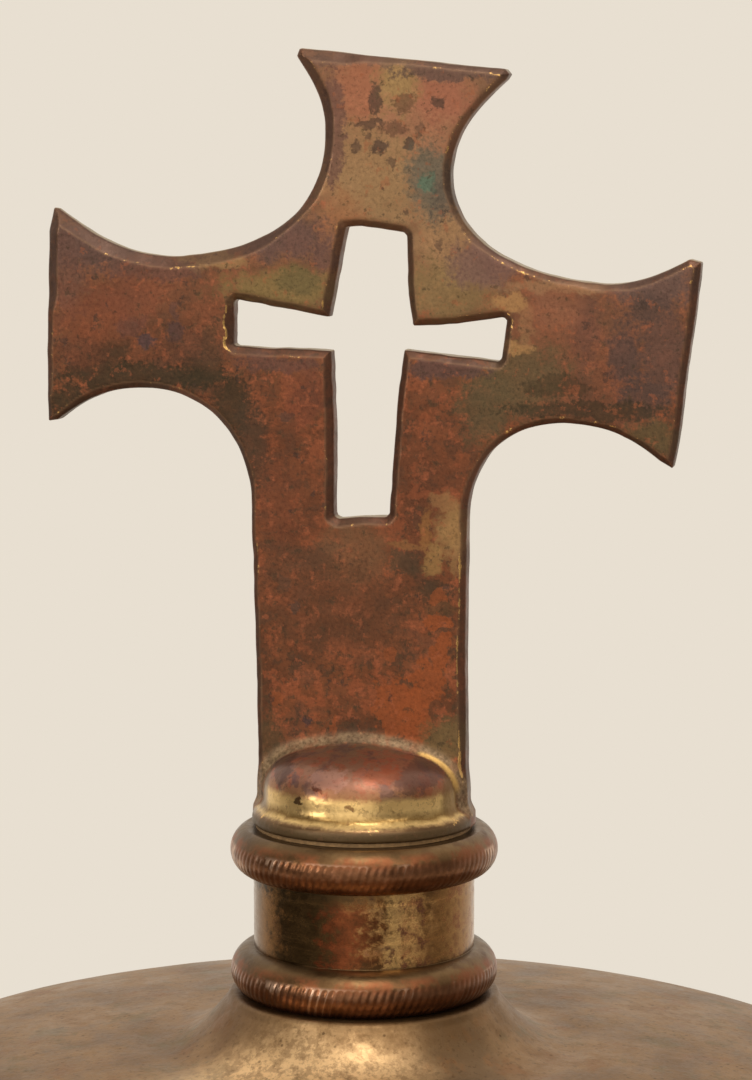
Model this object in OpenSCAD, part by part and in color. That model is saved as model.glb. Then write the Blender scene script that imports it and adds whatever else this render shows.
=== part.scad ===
// Processional cross head: a hand-cut brass cross with a pierced cross in it, cast in one
// with a domed shoulder, screwed on a collar with two milled bead rings, on a wide spun knop
// with a socket under it that takes a round wooden staff. Millimetres, +Z up.
// The origin is the centre of the socket mouth; the cross faces -Y.

/* [Cross] */
// Thickness of the cast cross plate
plate_t = 5; // [4:0.5:7]
// Height of the cross plate above the shoulder, as a factor of the drawn outline
cross_factor = 1; // [0.9:0.02:1.2]
// Thread engagement of the stud in the cross
thread_len = 9; // [6:1:9]

/* [Collar] */
// Radius of the bead section of the milled rings
bead_r = 3.9; // [3.7:0.1:4.2]
// Outside radius of the plain collar tube
collar_r = 17.6; // [17.4:0.1:18]
// Distance between the two milled rings
ring_pitch = 19.5; // [17:0.5:30]

/* [Knop] */
// Largest radius of the spun knop
knop_r = 90; // [70:1:110]
// Rise of the upper dome from the girdle
dome_rise = 13.8; // [12:0.2:26]
// Depth of the lower bowl under the girdle
bowl_depth = 30; // [22:1:45]
// Thickness of the spun sheet
shell_t = 1.2; // [0.8:0.1:2]
// Section radius of the girdle bead
girdle_r = 3.4; // [2.6:0.1:4]

/* [Socket] */
// Radius of the staff bore
bore_r = 15; // [12.5:0.5:15]
// Wall thickness of the socket tube
socket_wall = 2; // [1.5:0.1:2]
// Depth of the staff bore
bore_depth = 67.4; // [50:0.2:110]
// Height of the thumbscrew above the mouth
screw_z = 24; // [16:1:36]

/* [Hidden] */
stud_r = 5;
run = 0.05;
washer_t = 0.6;
ring_top = bead_r - 0.3;
socket_r = bore_r + socket_wall;
plug_h = 14;
plug_r = bore_r + 0.6;
nut_h = 8;
tube_top = bore_depth + plug_h;
low_top = tube_top + ring_top;
bowl_z = low_top + 3;
girdle_z = bowl_z + bowl_depth;
dome_z = girdle_z + 1.6;
dome_top = dome_z + dome_rise;
neck_top = dome_top + 7.4;
ring_lo = neck_top + ring_top;
ring_up = ring_lo + ring_pitch;
seat_z = ring_up + ring_top;
boss_z = seat_z + washer_t;
stud_low = bore_depth + 0.3;
stud_top = boss_z + thread_len;
pad_r = 2.9;
screw_r = 3;
screw_travel = 3;
boss_out = 22;

// Point on a cubic curve with two end points and two handles
function bez(a, b, c, d, t) =
  pow(1 - t, 3) * a + 3 * pow(1 - t, 2) * t * b + 3 * (1 - t) * t * t * c + pow(t, 3) * d;
// The same curve as a list of n points, without its last one
function curve(a, b, c, d, n) = [for (i = [0:n - 1]) bez(a, b, c, d, i / n)];

// Outline of the cross, left of the stem going round to its right, heights from the upper ring
outer = concat(
  [[-16.9, 5]],
  curve([-16.9, 11], [-17, 30], [-17.5, 42], [-17.9, 56], 4),
  curve([-17.9, 56], [-18.4, 66.6], [-26.6, 72.8], [-35, 72.8], 10),
  curve([-35, 72.8], [-41, 72.8], [-45.6, 71.2], [-50.6, 66.5], 6),
  [[-51.1, 67.2]],
  curve([-51.1, 80], [-51, 88], [-50.9, 96], [-50.6, 100.6], 3),
  [[-50, 101.1]],
  curve([-49.2, 101], [-43, 96.2], [-37, 93.6], [-30.5, 93.6], 7),
  curve([-30.5, 93.6], [-15, 94.3], [-6, 100.6], [-5.9, 113], 12),
  curve([-5.9, 113], [-5.9, 119], [-9.1, 122.5], [-10.8, 125.2], 7),
  [[-9.9, 126]],
  [[22.4, 122.7]],
  [[23.1, 121.8]],
  curve([22.6, 121], [18, 117], [14, 113], [14, 106], 8),
  curve([14, 106], [14, 97.7], [22.4, 91.1], [38, 89.9], 12),
  curve([38, 89.9], [43, 89.9], [47, 91.6], [52.3, 94.5], 5),
  [[52.8, 93.3]],
  curve([52.7, 91], [51.8, 84], [50.4, 74], [49.3, 62.5], 3),
  [[48.8, 61.7]],
  curve([46.8, 62.9], [42.6, 66.2], [38.6, 68], [33, 68.4], 7),
  curve([33, 68.4], [24.6, 68.7], [17, 64.3], [16.8, 53], 10),
  curve([16.8, 53], [16.5, 40], [16.4, 30], [16.8, 10], 4),
  [[16.8, 5]]);

// The pierced cross, from its top going round clockwise
pierced = [
  [-2.5, 98.3], [0, 98.5], [6.6, 97.6], [7.1, 97.1], [7.3, 88], [8.1, 83.2],
  [15, 83.5], [22.3, 84.6], [22.9, 84.2], [22.1, 78.3], [21.6, 77.8], [6.8, 79.3],
  [5.9, 74], [4.9, 62], [4.5, 53.7], [3.9, 53.1], [-3.8, 52.8], [-4.4, 53.2],
  [-4.6, 66], [-4.9, 79.1], [-12, 79.4], [-20.2, 79.5], [-20.7, 79.9], [-20.6, 86.5],
  [-20.1, 87], [-5.3, 84.4], [-4, 91]];

// Section of the domed shoulder, from the seat up, heights from the upper ring
shoulder = concat(
  [[0, ring_top + washer_t], [17.5, ring_top + washer_t], [17.75, 4.6]],
  curve([17.8, 5.1], [17.8, 6.9], [15.9, 6.4], [15.9, 8.9], 8),
  curve([15.9, 8.9], [15.9, 11.5], [15, 14.4], [9.8, 15.9], 8),
  curve([9.8, 15.9], [6.5, 16.8], [3.5, 17.4], [0, 17.5], 5),
  [[0, 17.5]]);

// Half sections of the spun shells: outer line down, inner line back up
function on_arch(r, h, z, a) = [r * cos(a), z + h * sin(a)];
function arch(r, h, z, a0, a1, n) = [for (i = [0:n]) on_arch(r, h, z, a0 + (a1 - a0) * i / n)];
upper_out = concat([[21.2, neck_top], [21.7, neck_top - 0.6]],
  curve([21.9, neck_top - 1.2], [24.6, dome_top + 3.4], [26.6, dome_top - 1.6], on_arch(knop_r, dome_rise, dome_z, 66), 9),
  arch(knop_r, dome_rise, dome_z, 66, 0, 14), [[knop_r, girdle_z]]);
upper_in = concat([[knop_r - shell_t, girdle_z]],
  arch(knop_r - shell_t, dome_rise - shell_t, dome_z, 0, 66, 14),
  [for (i = [7:-1:0]) bez([20.6, neck_top - 2.2], [23.4, dome_top + 2.2], [25.6, dome_top - 2.9], on_arch(knop_r - shell_t, dome_rise - shell_t, dome_z, 66), i / 8)],
  [[20.3, neck_top - shell_t]]);
lower_out = concat([[20.8, low_top], [21.4, low_top + 0.7]],
  curve([22.4, low_top + 1.5], [28, low_top + 2.8], [34, bowl_z + 0.5], on_arch(knop_r, bowl_depth, girdle_z - 1.6, -62), 6),
  arch(knop_r, bowl_depth, girdle_z - 1.6, -62, 0, 14), [[knop_r, girdle_z]]);
lower_in = concat([[knop_r - shell_t, girdle_z]],
  arch(knop_r - shell_t, bowl_depth - shell_t, girdle_z - 1.6, 0, -62, 14),
  [for (i = [5:-1:0]) bez([21.8, low_top + 2.4], [27.4, low_top + 4], [33.4, bowl_z + 1.8], on_arch(knop_r - shell_t, bowl_depth - shell_t, girdle_z - 1.6, -62), i / 6)],
  [[20.2, low_top + shell_t]]);

// Round bar along +Z
module bar(r, z0, z1) {
  translate([0, 0, z0]) cylinder(r = r, h = z1 - z0, $fn = 64);
}

// Hexagon nut with a running hole for the stud
module nut(z0, h) {
  difference() {
    translate([0, 0, z0]) cylinder(r = 9.2, h = h, $fn = 6);
    bar(stud_r + run, z0 - 1, z0 + h + 1);
  }
}

// Bead ring: a round section with a flat web on the seat side, a rebate for a tube on the other
module bead_ring(z, tube_r, hole_r, up) {
  difference() {
    union() {
      translate([0, 0, z]) rotate_extrude($fn = 96) translate([17.4, 0]) circle(r = bead_r, $fn = 48);
      bar(17.4, up ? z : z - ring_top, up ? z + ring_top : z);
    }
    if (up) {
      bar(hole_r, z - 6, z + 6);
      bar(tube_r, z - 6, z);
      bar(30, z + ring_top, z + 6);
    } else {
      bar(hole_r, z - 6, z + 6);
      bar(tube_r, z, z + 6);
      bar(30, z - 6, z - ring_top);
    }
  }
}

// The cross, the domed shoulder it grows out of and the threaded bore under it
module cross_casting() {
  color([0.55, 0.33, 0.2]) difference() {
    union() {
      translate([0, plate_t / 2, ring_up]) rotate([90, 0, 0]) linear_extrude(plate_t)
        difference() {
          translate([0, 5]) scale([cross_factor, cross_factor]) translate([0, -5]) polygon(outer);
          translate([0, 5]) scale([cross_factor, cross_factor]) translate([0, -5]) polygon(pierced);
        }
      translate([0, 0, ring_up]) rotate_extrude($fn = 96) polygon(shoulder);
    }
    bar(stud_r + run, boss_z - 1, stud_top + 1.5);
    translate([0, 0, boss_z - 1]) cylinder(r = 6, h = 1.8, $fn = 64);
  }
}

// Thin leather ring between the shoulder and the upper ring
module cross_seat_washer() {
  color([0.2, 0.12, 0.08]) difference() {
    bar(17.2, seat_z, boss_z);
    bar(14.4, seat_z - 1, boss_z + 1);
  }
}

// Milled bead ring at the top of the collar, counterbored for the cup
module upper_milled_ring() {
  color([0.6, 0.38, 0.22]) difference() {
    bead_ring(ring_up, collar_r, 12, true);
    bar(14, seat_z - 2, seat_z + 1);
  }
}

// Plain tube between the two rings
module collar_tube() {
  color([0.62, 0.42, 0.24]) difference() {
    bar(collar_r, ring_lo, ring_up);
    bar(collar_r - 2, ring_lo - 1, ring_up + 1);
  }
}

// Milled bead ring at the foot of the collar, sitting on the neck of the knop
module lower_milled_ring() {
  color([0.6, 0.38, 0.22]) bead_ring(ring_lo, collar_r, 12, false);
}

// Flanged cup let into the upper ring, with a floor the clamp nut pulls down on
module collar_cup() {
  color([0.7, 0.55, 0.3]) difference() {
    union() {
      bar(14, seat_z - 2, seat_z);
      bar(12, seat_z - 12, seat_z);
    }
    bar(10.4, seat_z - 9, seat_z + 1);
    bar(stud_r + run, seat_z - 13, seat_z);
  }
}

// Nut in the cup that clamps the whole stack on the stud
module clamp_nut() {
  color([0.5, 0.5, 0.52]) nut(seat_z - 9, 7);
}

// Steel rod through the whole stack; the cross screws on its top end
module center_stud() {
  color([0.5, 0.5, 0.52]) union() {
    bar(stud_r, stud_low, stud_top - 0.6);
    translate([0, 0, stud_top - 0.6]) cylinder(r1 = stud_r, r2 = stud_r - 0.6, h = 0.6, $fn = 64);
  }
}

// Upper spun shell: neck flange, flared neck and shallow dome
module knop_upper_shell() {
  color([0.66, 0.5, 0.3]) difference() {
    rotate_extrude($fn = 128) polygon(concat([[12, neck_top]], upper_out, upper_in, [[12, neck_top - shell_t]]));
  }
}

// Half-round band soldered over the joint of the two shells
module knop_girdle() {
  color([0.7, 0.52, 0.3]) difference() {
    translate([0, 0, girdle_z]) rotate_extrude($fn = 128) translate([knop_r, 0]) circle(r = girdle_r, $fn = 48);
    translate([0, 0, girdle_z - 6]) cylinder(r = knop_r, h = 12, $fn = 128);
  }
}

// Lower spun shell: a deeper bowl with a flat ring to sit on the under collar
module knop_lower_shell() {
  color([0.66, 0.5, 0.3]) difference() {
    rotate_extrude($fn = 128) polygon(concat([[12, low_top]], lower_out, lower_in, [[12, low_top + shell_t]]));
  }
}

// Tube inside the knop that takes the clamping load between the two flanges
module knop_spacer_tube() {
  color([0.62, 0.48, 0.3]) difference() {
    bar(16, low_top + shell_t, neck_top - shell_t);
    bar(13.5, low_top, neck_top);
  }
}

// Plain bead ring that joins the socket tube and carries the knop
module under_collar_ring() {
  color([0.62, 0.4, 0.24]) bead_ring(tube_top, socket_r, 12, true);
}

// Socket tube with a side hole for the pad
module staff_socket() {
  color([0.66, 0.48, 0.28]) difference() {
    bar(socket_r, 0, tube_top);
    bar(bore_r, -1, tube_top + 1);
    bar(plug_r, bore_depth, tube_top + 1);
    translate([0, 0, screw_z]) rotate([-90, 0, 0]) cylinder(r = 3.3, h = 40, $fn = 48);
  }
}

// Thick disc on a step in the top of the socket, pulled up against the under collar ring
module socket_plug() {
  color([0.7, 0.55, 0.3]) difference() {
    bar(plug_r, bore_depth, tube_top);
    bar(10.4, bore_depth - 1, bore_depth + 10);
    bar(stud_r + run, bore_depth, tube_top + 1);
  }
}

// Flat steel washer above the lower nut
module stud_washer() {
  color([0.5, 0.5, 0.52]) difference() {
    bar(9.8, bore_depth + 8.8, bore_depth + 10);
    bar(stud_r + run, bore_depth, bore_depth + 12);
  }
}

// Nut at the foot of the stud, inside the plug
module stud_nut() {
  color([0.5, 0.5, 0.52]) nut(bore_depth + 0.8, nut_h);
}

// Half-round bead that stiffens the mouth of the socket
module socket_mouth_ring() {
  color([0.62, 0.4, 0.24]) difference() {
    translate([0, 0, 3.2]) rotate_extrude($fn = 96) translate([socket_r, 0]) circle(r = 3.2, $fn = 48);
    bar(socket_r, -2, 8);
  }
}

// Turned boss soldered on the back of the socket, tapped for the thumbscrew
module screw_boss() {
  color([0.7, 0.52, 0.3]) difference() {
    union() {
      translate([0, bore_r, screw_z]) rotate([-90, 0, 0]) cylinder(r = 6, h = boss_out - bore_r, $fn = 64);
    }
    bar(socket_r, screw_z - 10, screw_z + 10);
    translate([0, 0, screw_z]) rotate([-90, 0, 0]) cylinder(r = screw_r + run, h = 40, $fn = 64);
  }
}

// Thumbscrew: pilot, threaded shank, collar and flat oval grip
module thumbscrew() {
  color([0.72, 0.56, 0.32]) translate([0, 0, screw_z]) rotate([-90, 0, 0]) union() {
    translate([0, 0, 16]) cylinder(r = 1.5, h = 2, $fn = 48);
    translate([0, 0, 17.3]) cylinder(r = screw_r, h = 9, $fn = 64);
    translate([0, 0, boss_out + screw_travel + 0.1]) cylinder(r = 4.6, h = 2.4, $fn = 64);
    translate([0, 0, boss_out + screw_travel + 2]) cylinder(r1 = 3, r2 = 1.8, h = 3, $fn = 64);
    intersection() {
      translate([0, 1.2, boss_out + screw_travel + 10.4]) rotate([90, 0, 0]) cylinder(r = 7.4, h = 2.4, $fn = 64);
      translate([-9, -3, boss_out + screw_travel + 3.6]) cube([18, 6, 16]);
    }
  }
}

// Loose brass pad on the tip of the thumbscrew; it presses the staff and does not turn
module pressure_pad() {
  color([0.74, 0.6, 0.36]) translate([0, 0, screw_z]) rotate([-90, 0, 0]) difference() {
    translate([0, 0, 15.2]) cylinder(r = pad_r, h = 1.9, $fn = 48);
    translate([0, 0, 15.9]) cylinder(r = 1.55, h = 2, $fn = 48);
  }
}

cross_casting();
cross_seat_washer();
upper_milled_ring();
collar_tube();
lower_milled_ring();
collar_cup();
clamp_nut();
center_stud();
knop_upper_shell();
knop_girdle();
knop_lower_shell();
knop_spacer_tube();
under_collar_ring();
staff_socket();
socket_plug();
stud_washer();
stud_nut();
socket_mouth_ring();
screw_boss();
thumbscrew();
pressure_pad();
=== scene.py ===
import math

import bpy
import numpy as np
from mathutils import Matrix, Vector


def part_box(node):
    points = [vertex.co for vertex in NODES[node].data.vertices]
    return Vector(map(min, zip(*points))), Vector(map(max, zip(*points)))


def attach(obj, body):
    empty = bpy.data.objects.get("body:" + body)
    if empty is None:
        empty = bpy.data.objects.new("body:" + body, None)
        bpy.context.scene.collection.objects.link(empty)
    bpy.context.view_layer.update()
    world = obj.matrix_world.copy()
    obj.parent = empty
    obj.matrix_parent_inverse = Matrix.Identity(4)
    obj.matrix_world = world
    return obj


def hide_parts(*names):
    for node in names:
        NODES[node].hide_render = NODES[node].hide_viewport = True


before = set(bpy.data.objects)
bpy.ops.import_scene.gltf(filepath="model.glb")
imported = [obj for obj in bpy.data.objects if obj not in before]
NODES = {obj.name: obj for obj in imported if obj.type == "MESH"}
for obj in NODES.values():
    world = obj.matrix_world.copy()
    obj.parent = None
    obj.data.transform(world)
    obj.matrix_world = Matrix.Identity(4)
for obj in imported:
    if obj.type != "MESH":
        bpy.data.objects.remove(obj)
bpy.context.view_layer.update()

# ---------------------------------------------------------------- places, in millimetres
def lo(node, i=2):
    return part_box(node)[0][i] * 1000.0


def hi(node, i=2):
    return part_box(node)[1][i] * 1000.0


RING_UP = hi("collar_tube")
RING_LO = lo("collar_tube")
SEAT = lo("cross_seat_washer")
BOSS = hi("cross_seat_washer")
NECK = hi("knop_upper_shell")
DOME_TOP = NECK - 7.4
GIRDLE = 0.5 * (lo("knop_girdle") + hi("knop_girdle"))
DOME_Z = GIRDLE + 1.6
RISE = DOME_TOP - DOME_Z
KNOP_R = hi("knop_upper_shell", 0)
LOW_TOP = lo("knop_lower_shell")
BOWL_Z = LOW_TOP + 3.0
BOWL = GIRDLE - BOWL_Z
TUBE_TOP = hi("staff_socket")
BORE = lo("socket_plug")
STUD_LO, STUD_HI = lo("center_stud"), hi("center_stud")
SCREW_Z = 0.5 * (lo("pressure_pad") + hi("pressure_pad"))

# ---------------------------------------------------------------- noise and distance tools
def _hash(a, b, c):
    n = (a * 73856093) ^ (b * 19349663) ^ (c * 83492791)
    n = (n ^ (n >> 13)) & 0x7FFFFFFF
    n = (n * 1274126177) & 0x7FFFFFFF
    n = (n ^ (n >> 16)) & 0xFFFFF
    return n / float(0xFFFFF) * 2.0 - 1.0


def vnoise(P, wl, seed=0):
    """Smooth value noise in -1..1, wavelength wl in mm."""
    q = np.asarray(P, float) / wl + seed * 17.31 + 1000.0
    i = np.floor(q).astype(np.int64)
    f = q - i
    u = f * f * f * (f * (f * 6 - 15) + 10)
    out = np.zeros(len(q))
    for dx in (0, 1):
        wx = u[:, 0] if dx else 1 - u[:, 0]
        for dy in (0, 1):
            wy = u[:, 1] if dy else 1 - u[:, 1]
            for dz in (0, 1):
                wz = u[:, 2] if dz else 1 - u[:, 2]
                out += wx * wy * wz * _hash(i[:, 0] + dx, i[:, 1] + dy, i[:, 2] + dz)
    return out


def smooth(a, b, x):
    t = np.clip((x - a) / (b - a), 0, 1)
    return t * t * (3 - 2 * t)


def psdf(x, z, poly):
    """Signed distance to a closed polygon, negative inside."""
    a = np.asarray(poly, float)
    b = np.roll(a, -1, 0)
    e = b - a
    ee = (e ** 2).sum(1)
    ez = np.where(np.abs(e[:, 1]) < 1e-12, 1e-12, e[:, 1])
    out = np.empty(len(x))
    for s in range(0, len(x), 16000):
        px, pz = x[s:s + 16000, None], z[s:s + 16000, None]
        wx, wz = px - a[:, 0], pz - a[:, 1]
        t = np.clip((wx * e[:, 0] + wz * e[:, 1]) / ee, 0, 1)
        d = ((wx - e[:, 0] * t) ** 2 + (wz - e[:, 1] * t) ** 2).min(1)
        c = (a[:, 1] <= pz) != (b[:, 1] <= pz)
        xi = a[:, 0] + wz * e[:, 0] / ez
        inside = ((c & (px < xi)).sum(1) % 2) == 1
        out[s:s + 16000] = np.sqrt(d) * np.where(inside, -1, 1)
    return out


def bez(a, b, c, d, n):
    t = (np.arange(n) / n)[:, None]
    a, b, c, d = map(np.array, (a, b, c, d))
    return ((1 - t) ** 3 * a + 3 * (1 - t) ** 2 * t * b + 3 * (1 - t) * t * t * c + t ** 3 * d).tolist()


# ---------------------------------------------------------------- meshes
def mesh_from(name, verts_mm, quads, smooth_on=True):
    me = bpy.data.meshes.new(name)
    v = np.asarray(verts_mm, np.float32) * 0.001
    q = np.asarray(quads, np.int32)
    me.vertices.add(len(v))
    me.vertices.foreach_set("co", v.ravel())
    k = q.shape[1]
    me.loops.add(q.size)
    me.loops.foreach_set("vertex_index", q.ravel())
    me.polygons.add(len(q))
    me.polygons.foreach_set("loop_start", np.arange(0, q.size, k, dtype=np.int32))
    me.polygons.foreach_set("loop_total", np.full(len(q), k, np.int32))
    me.update(calc_edges=True)
    me.validate()
    if smooth_on:
        me.polygons.foreach_set("use_smooth", np.ones(len(me.polygons), bool))
    ob = bpy.data.objects.new(name, me)
    bpy.context.scene.collection.objects.link(ob)
    return ob


def add_attr(ob, name, values):
    at = ob.data.attributes.new(name, "FLOAT", "POINT")
    at.data.foreach_set("value", np.asarray(values, np.float32))


def surface_nets(phi, origin, h):
    """Closed quad mesh of the zero level of a grid of signed distances."""
    s = phi < 0
    cnt = np.zeros(tuple(n - 1 for n in phi.shape), np.uint8)
    corners = [(i, j, k) for i in (0, 1) for j in (0, 1) for k in (0, 1)]
    for i, j, k in corners:
        cnt += s[i:phi.shape[0] - 1 + i, j:phi.shape[1] - 1 + j, k:phi.shape[2] - 1 + k]
    mask = (cnt > 0) & (cnt < 8)
    cells = np.argwhere(mask)
    idx = np.full(mask.shape, -1, np.int32)
    idx[mask] = np.arange(len(cells))
    acc = np.zeros((len(cells), 3))
    num = np.zeros(len(cells))
    for a in corners:
        for ax in range(3):
            if a[ax]:
                continue
            b = list(a)
            b[ax] = 1
            pa = phi[cells[:, 0] + a[0], cells[:, 1] + a[1], cells[:, 2] + a[2]]
            pb = phi[cells[:, 0] + b[0], cells[:, 1] + b[1], cells[:, 2] + b[2]]
            cr = (pa < 0) != (pb < 0)
            t = pa[cr] / (pa[cr] - pb[cr])
            p = np.tile(np.array(a, float), (cr.sum(), 1))
            p[:, ax] += t
            acc[cr] += p
            num[cr] += 1
    v = (cells + acc / num[:, None]) * h + np.array(origin)
    quads = []
    for ax in range(3):
        o1, o2 = (ax + 1) % 3, (ax + 2) % 3
        n = list(phi.shape)
        sl0 = [slice(None)] * 3
        sl1 = [slice(None)] * 3
        sl0[ax], sl1[ax] = slice(0, n[ax] - 1), slice(1, n[ax])
        for sl in (sl0, sl1):
            sl[o1] = slice(1, n[o1] - 1)
            sl[o2] = slice(1, n[o2] - 1)
        s0, s1 = s[tuple(sl0)], s[tuple(sl1)]
        e = np.argwhere(s0 != s1)
        inside0 = s0[tuple(e.T)]
        e[:, o1] += 1
        e[:, o2] += 1
        q = []
        for d1, d2 in ((-1, -1), (0, -1), (0, 0), (-1, 0)):
            c = e.copy()
            c[:, o1] += d1
            c[:, o2] += d2
            q.append(idx[tuple(c.T)])
        q = np.stack(q, 1)
        q[~inside0] = q[~inside0][:, ::-1]
        quads.append(q)
    return v, np.concatenate(quads)


def grid_axes(lo3, hi3, h):
    return [np.arange(lo3[i] - 3 * h, hi3[i] + 3 * h, h) for i in range(3)]


def relax(v, F, n=3, step=0.05):
    """Moves points onto the zero level of F."""
    for _ in range(n):
        f0 = F(v)
        g = np.stack([(F(v + d) - F(v - d)) / (2 * step) for d in np.eye(3) * step], 1)
        g2 = np.maximum((g ** 2).sum(1), 0.25)
        v = v - np.clip(f0 / g2, -0.4, 0.4)[:, None] * g
    return v


def rounded(profile, r, seg=4):
    """A closed line with each corner of angle above 20 degrees turned to an arc; r per point or one."""
    p = np.array([q[:2] for q in profile], float)
    rr = [q[2] if len(q) > 2 else r for q in profile]
    out = []
    n = len(p)
    for i in range(n):
        a, b, c = p[i - 1], p[i], p[(i + 1) % n]
        u, w = a - b, c - b
        lu, lw = np.linalg.norm(u), np.linalg.norm(w)
        if lu < 1e-6 or lw < 1e-6:
            out.append(b)
            continue
        u, w = u / lu, w / lw
        ang = math.acos(max(-1, min(1, float(u @ w))))
        if ang > math.radians(160) or rr[i] <= 0:
            out.append(b)
            continue
        d = min(rr[i] / math.tan(ang / 2), 0.45 * lu, 0.45 * lw)
        s0, s1 = b + u * d, b + w * d
        for k in range(seg + 1):
            t = k / seg
            out.append((1 - t) ** 2 * s0 + 2 * (1 - t) * t * b + t * t * s1)
    return np.array(out)


def dense(loop, step):
    out = []
    n = len(loop)
    for i in range(n):
        a, b = loop[i], loop[(i + 1) % n]
        m = max(1, int(math.ceil(np.linalg.norm(b - a) / step)))
        for k in range(m):
            out.append(a + (b - a) * k / m)
    return np.array(out)


def revolve(name, loop, n=256, disp=None):
    """Ring of revolution about +Z from a closed (r, z) loop. disp(theta, r, z) moves points along the section's normal."""
    loop = np.asarray(loop, float)
    area = 0.5 * np.sum(loop[:, 0] * np.roll(loop[:, 1], -1) - loop[:, 1] * np.roll(loop[:, 0], -1))
    if area < 0:
        loop = loop[::-1]
    m = len(loop)
    tan = np.roll(loop, -1, 0) - np.roll(loop, 1, 0)
    tan /= np.maximum(np.linalg.norm(tan, axis=1), 1e-9)[:, None]
    nor = np.stack([tan[:, 1], -tan[:, 0]], 1)
    th = np.linspace(0, 2 * np.pi, n, endpoint=False)
    T = np.repeat(th, m)
    R = np.tile(loop[:, 0], n)
    Z = np.tile(loop[:, 1], n)
    if disp is not None:
        d = disp(T, R, Z)
        R = R + d * np.tile(nor[:, 0], n)
        Z = Z + d * np.tile(nor[:, 1], n)
    v = np.stack([R * np.cos(T), R * np.sin(T), Z], 1)
    i = np.repeat(np.arange(n), m)
    j = np.tile(np.arange(m), n)
    i2, j2 = (i + 1) % n, (j + 1) % m
    q = np.stack([i * m + j, i2 * m + j, i2 * m + j2, i * m + j2], 1)
    return mesh_from(name, v, q), v


# ---------------------------------------------------------------- node tools
def lin(*c):
    """sRGB 0..255 to linear."""
    return tuple((x / 255 / 12.92) if x / 255 <= 0.04045 else ((x / 255 + 0.055) / 1.055) ** 2.4 for x in c)


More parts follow.
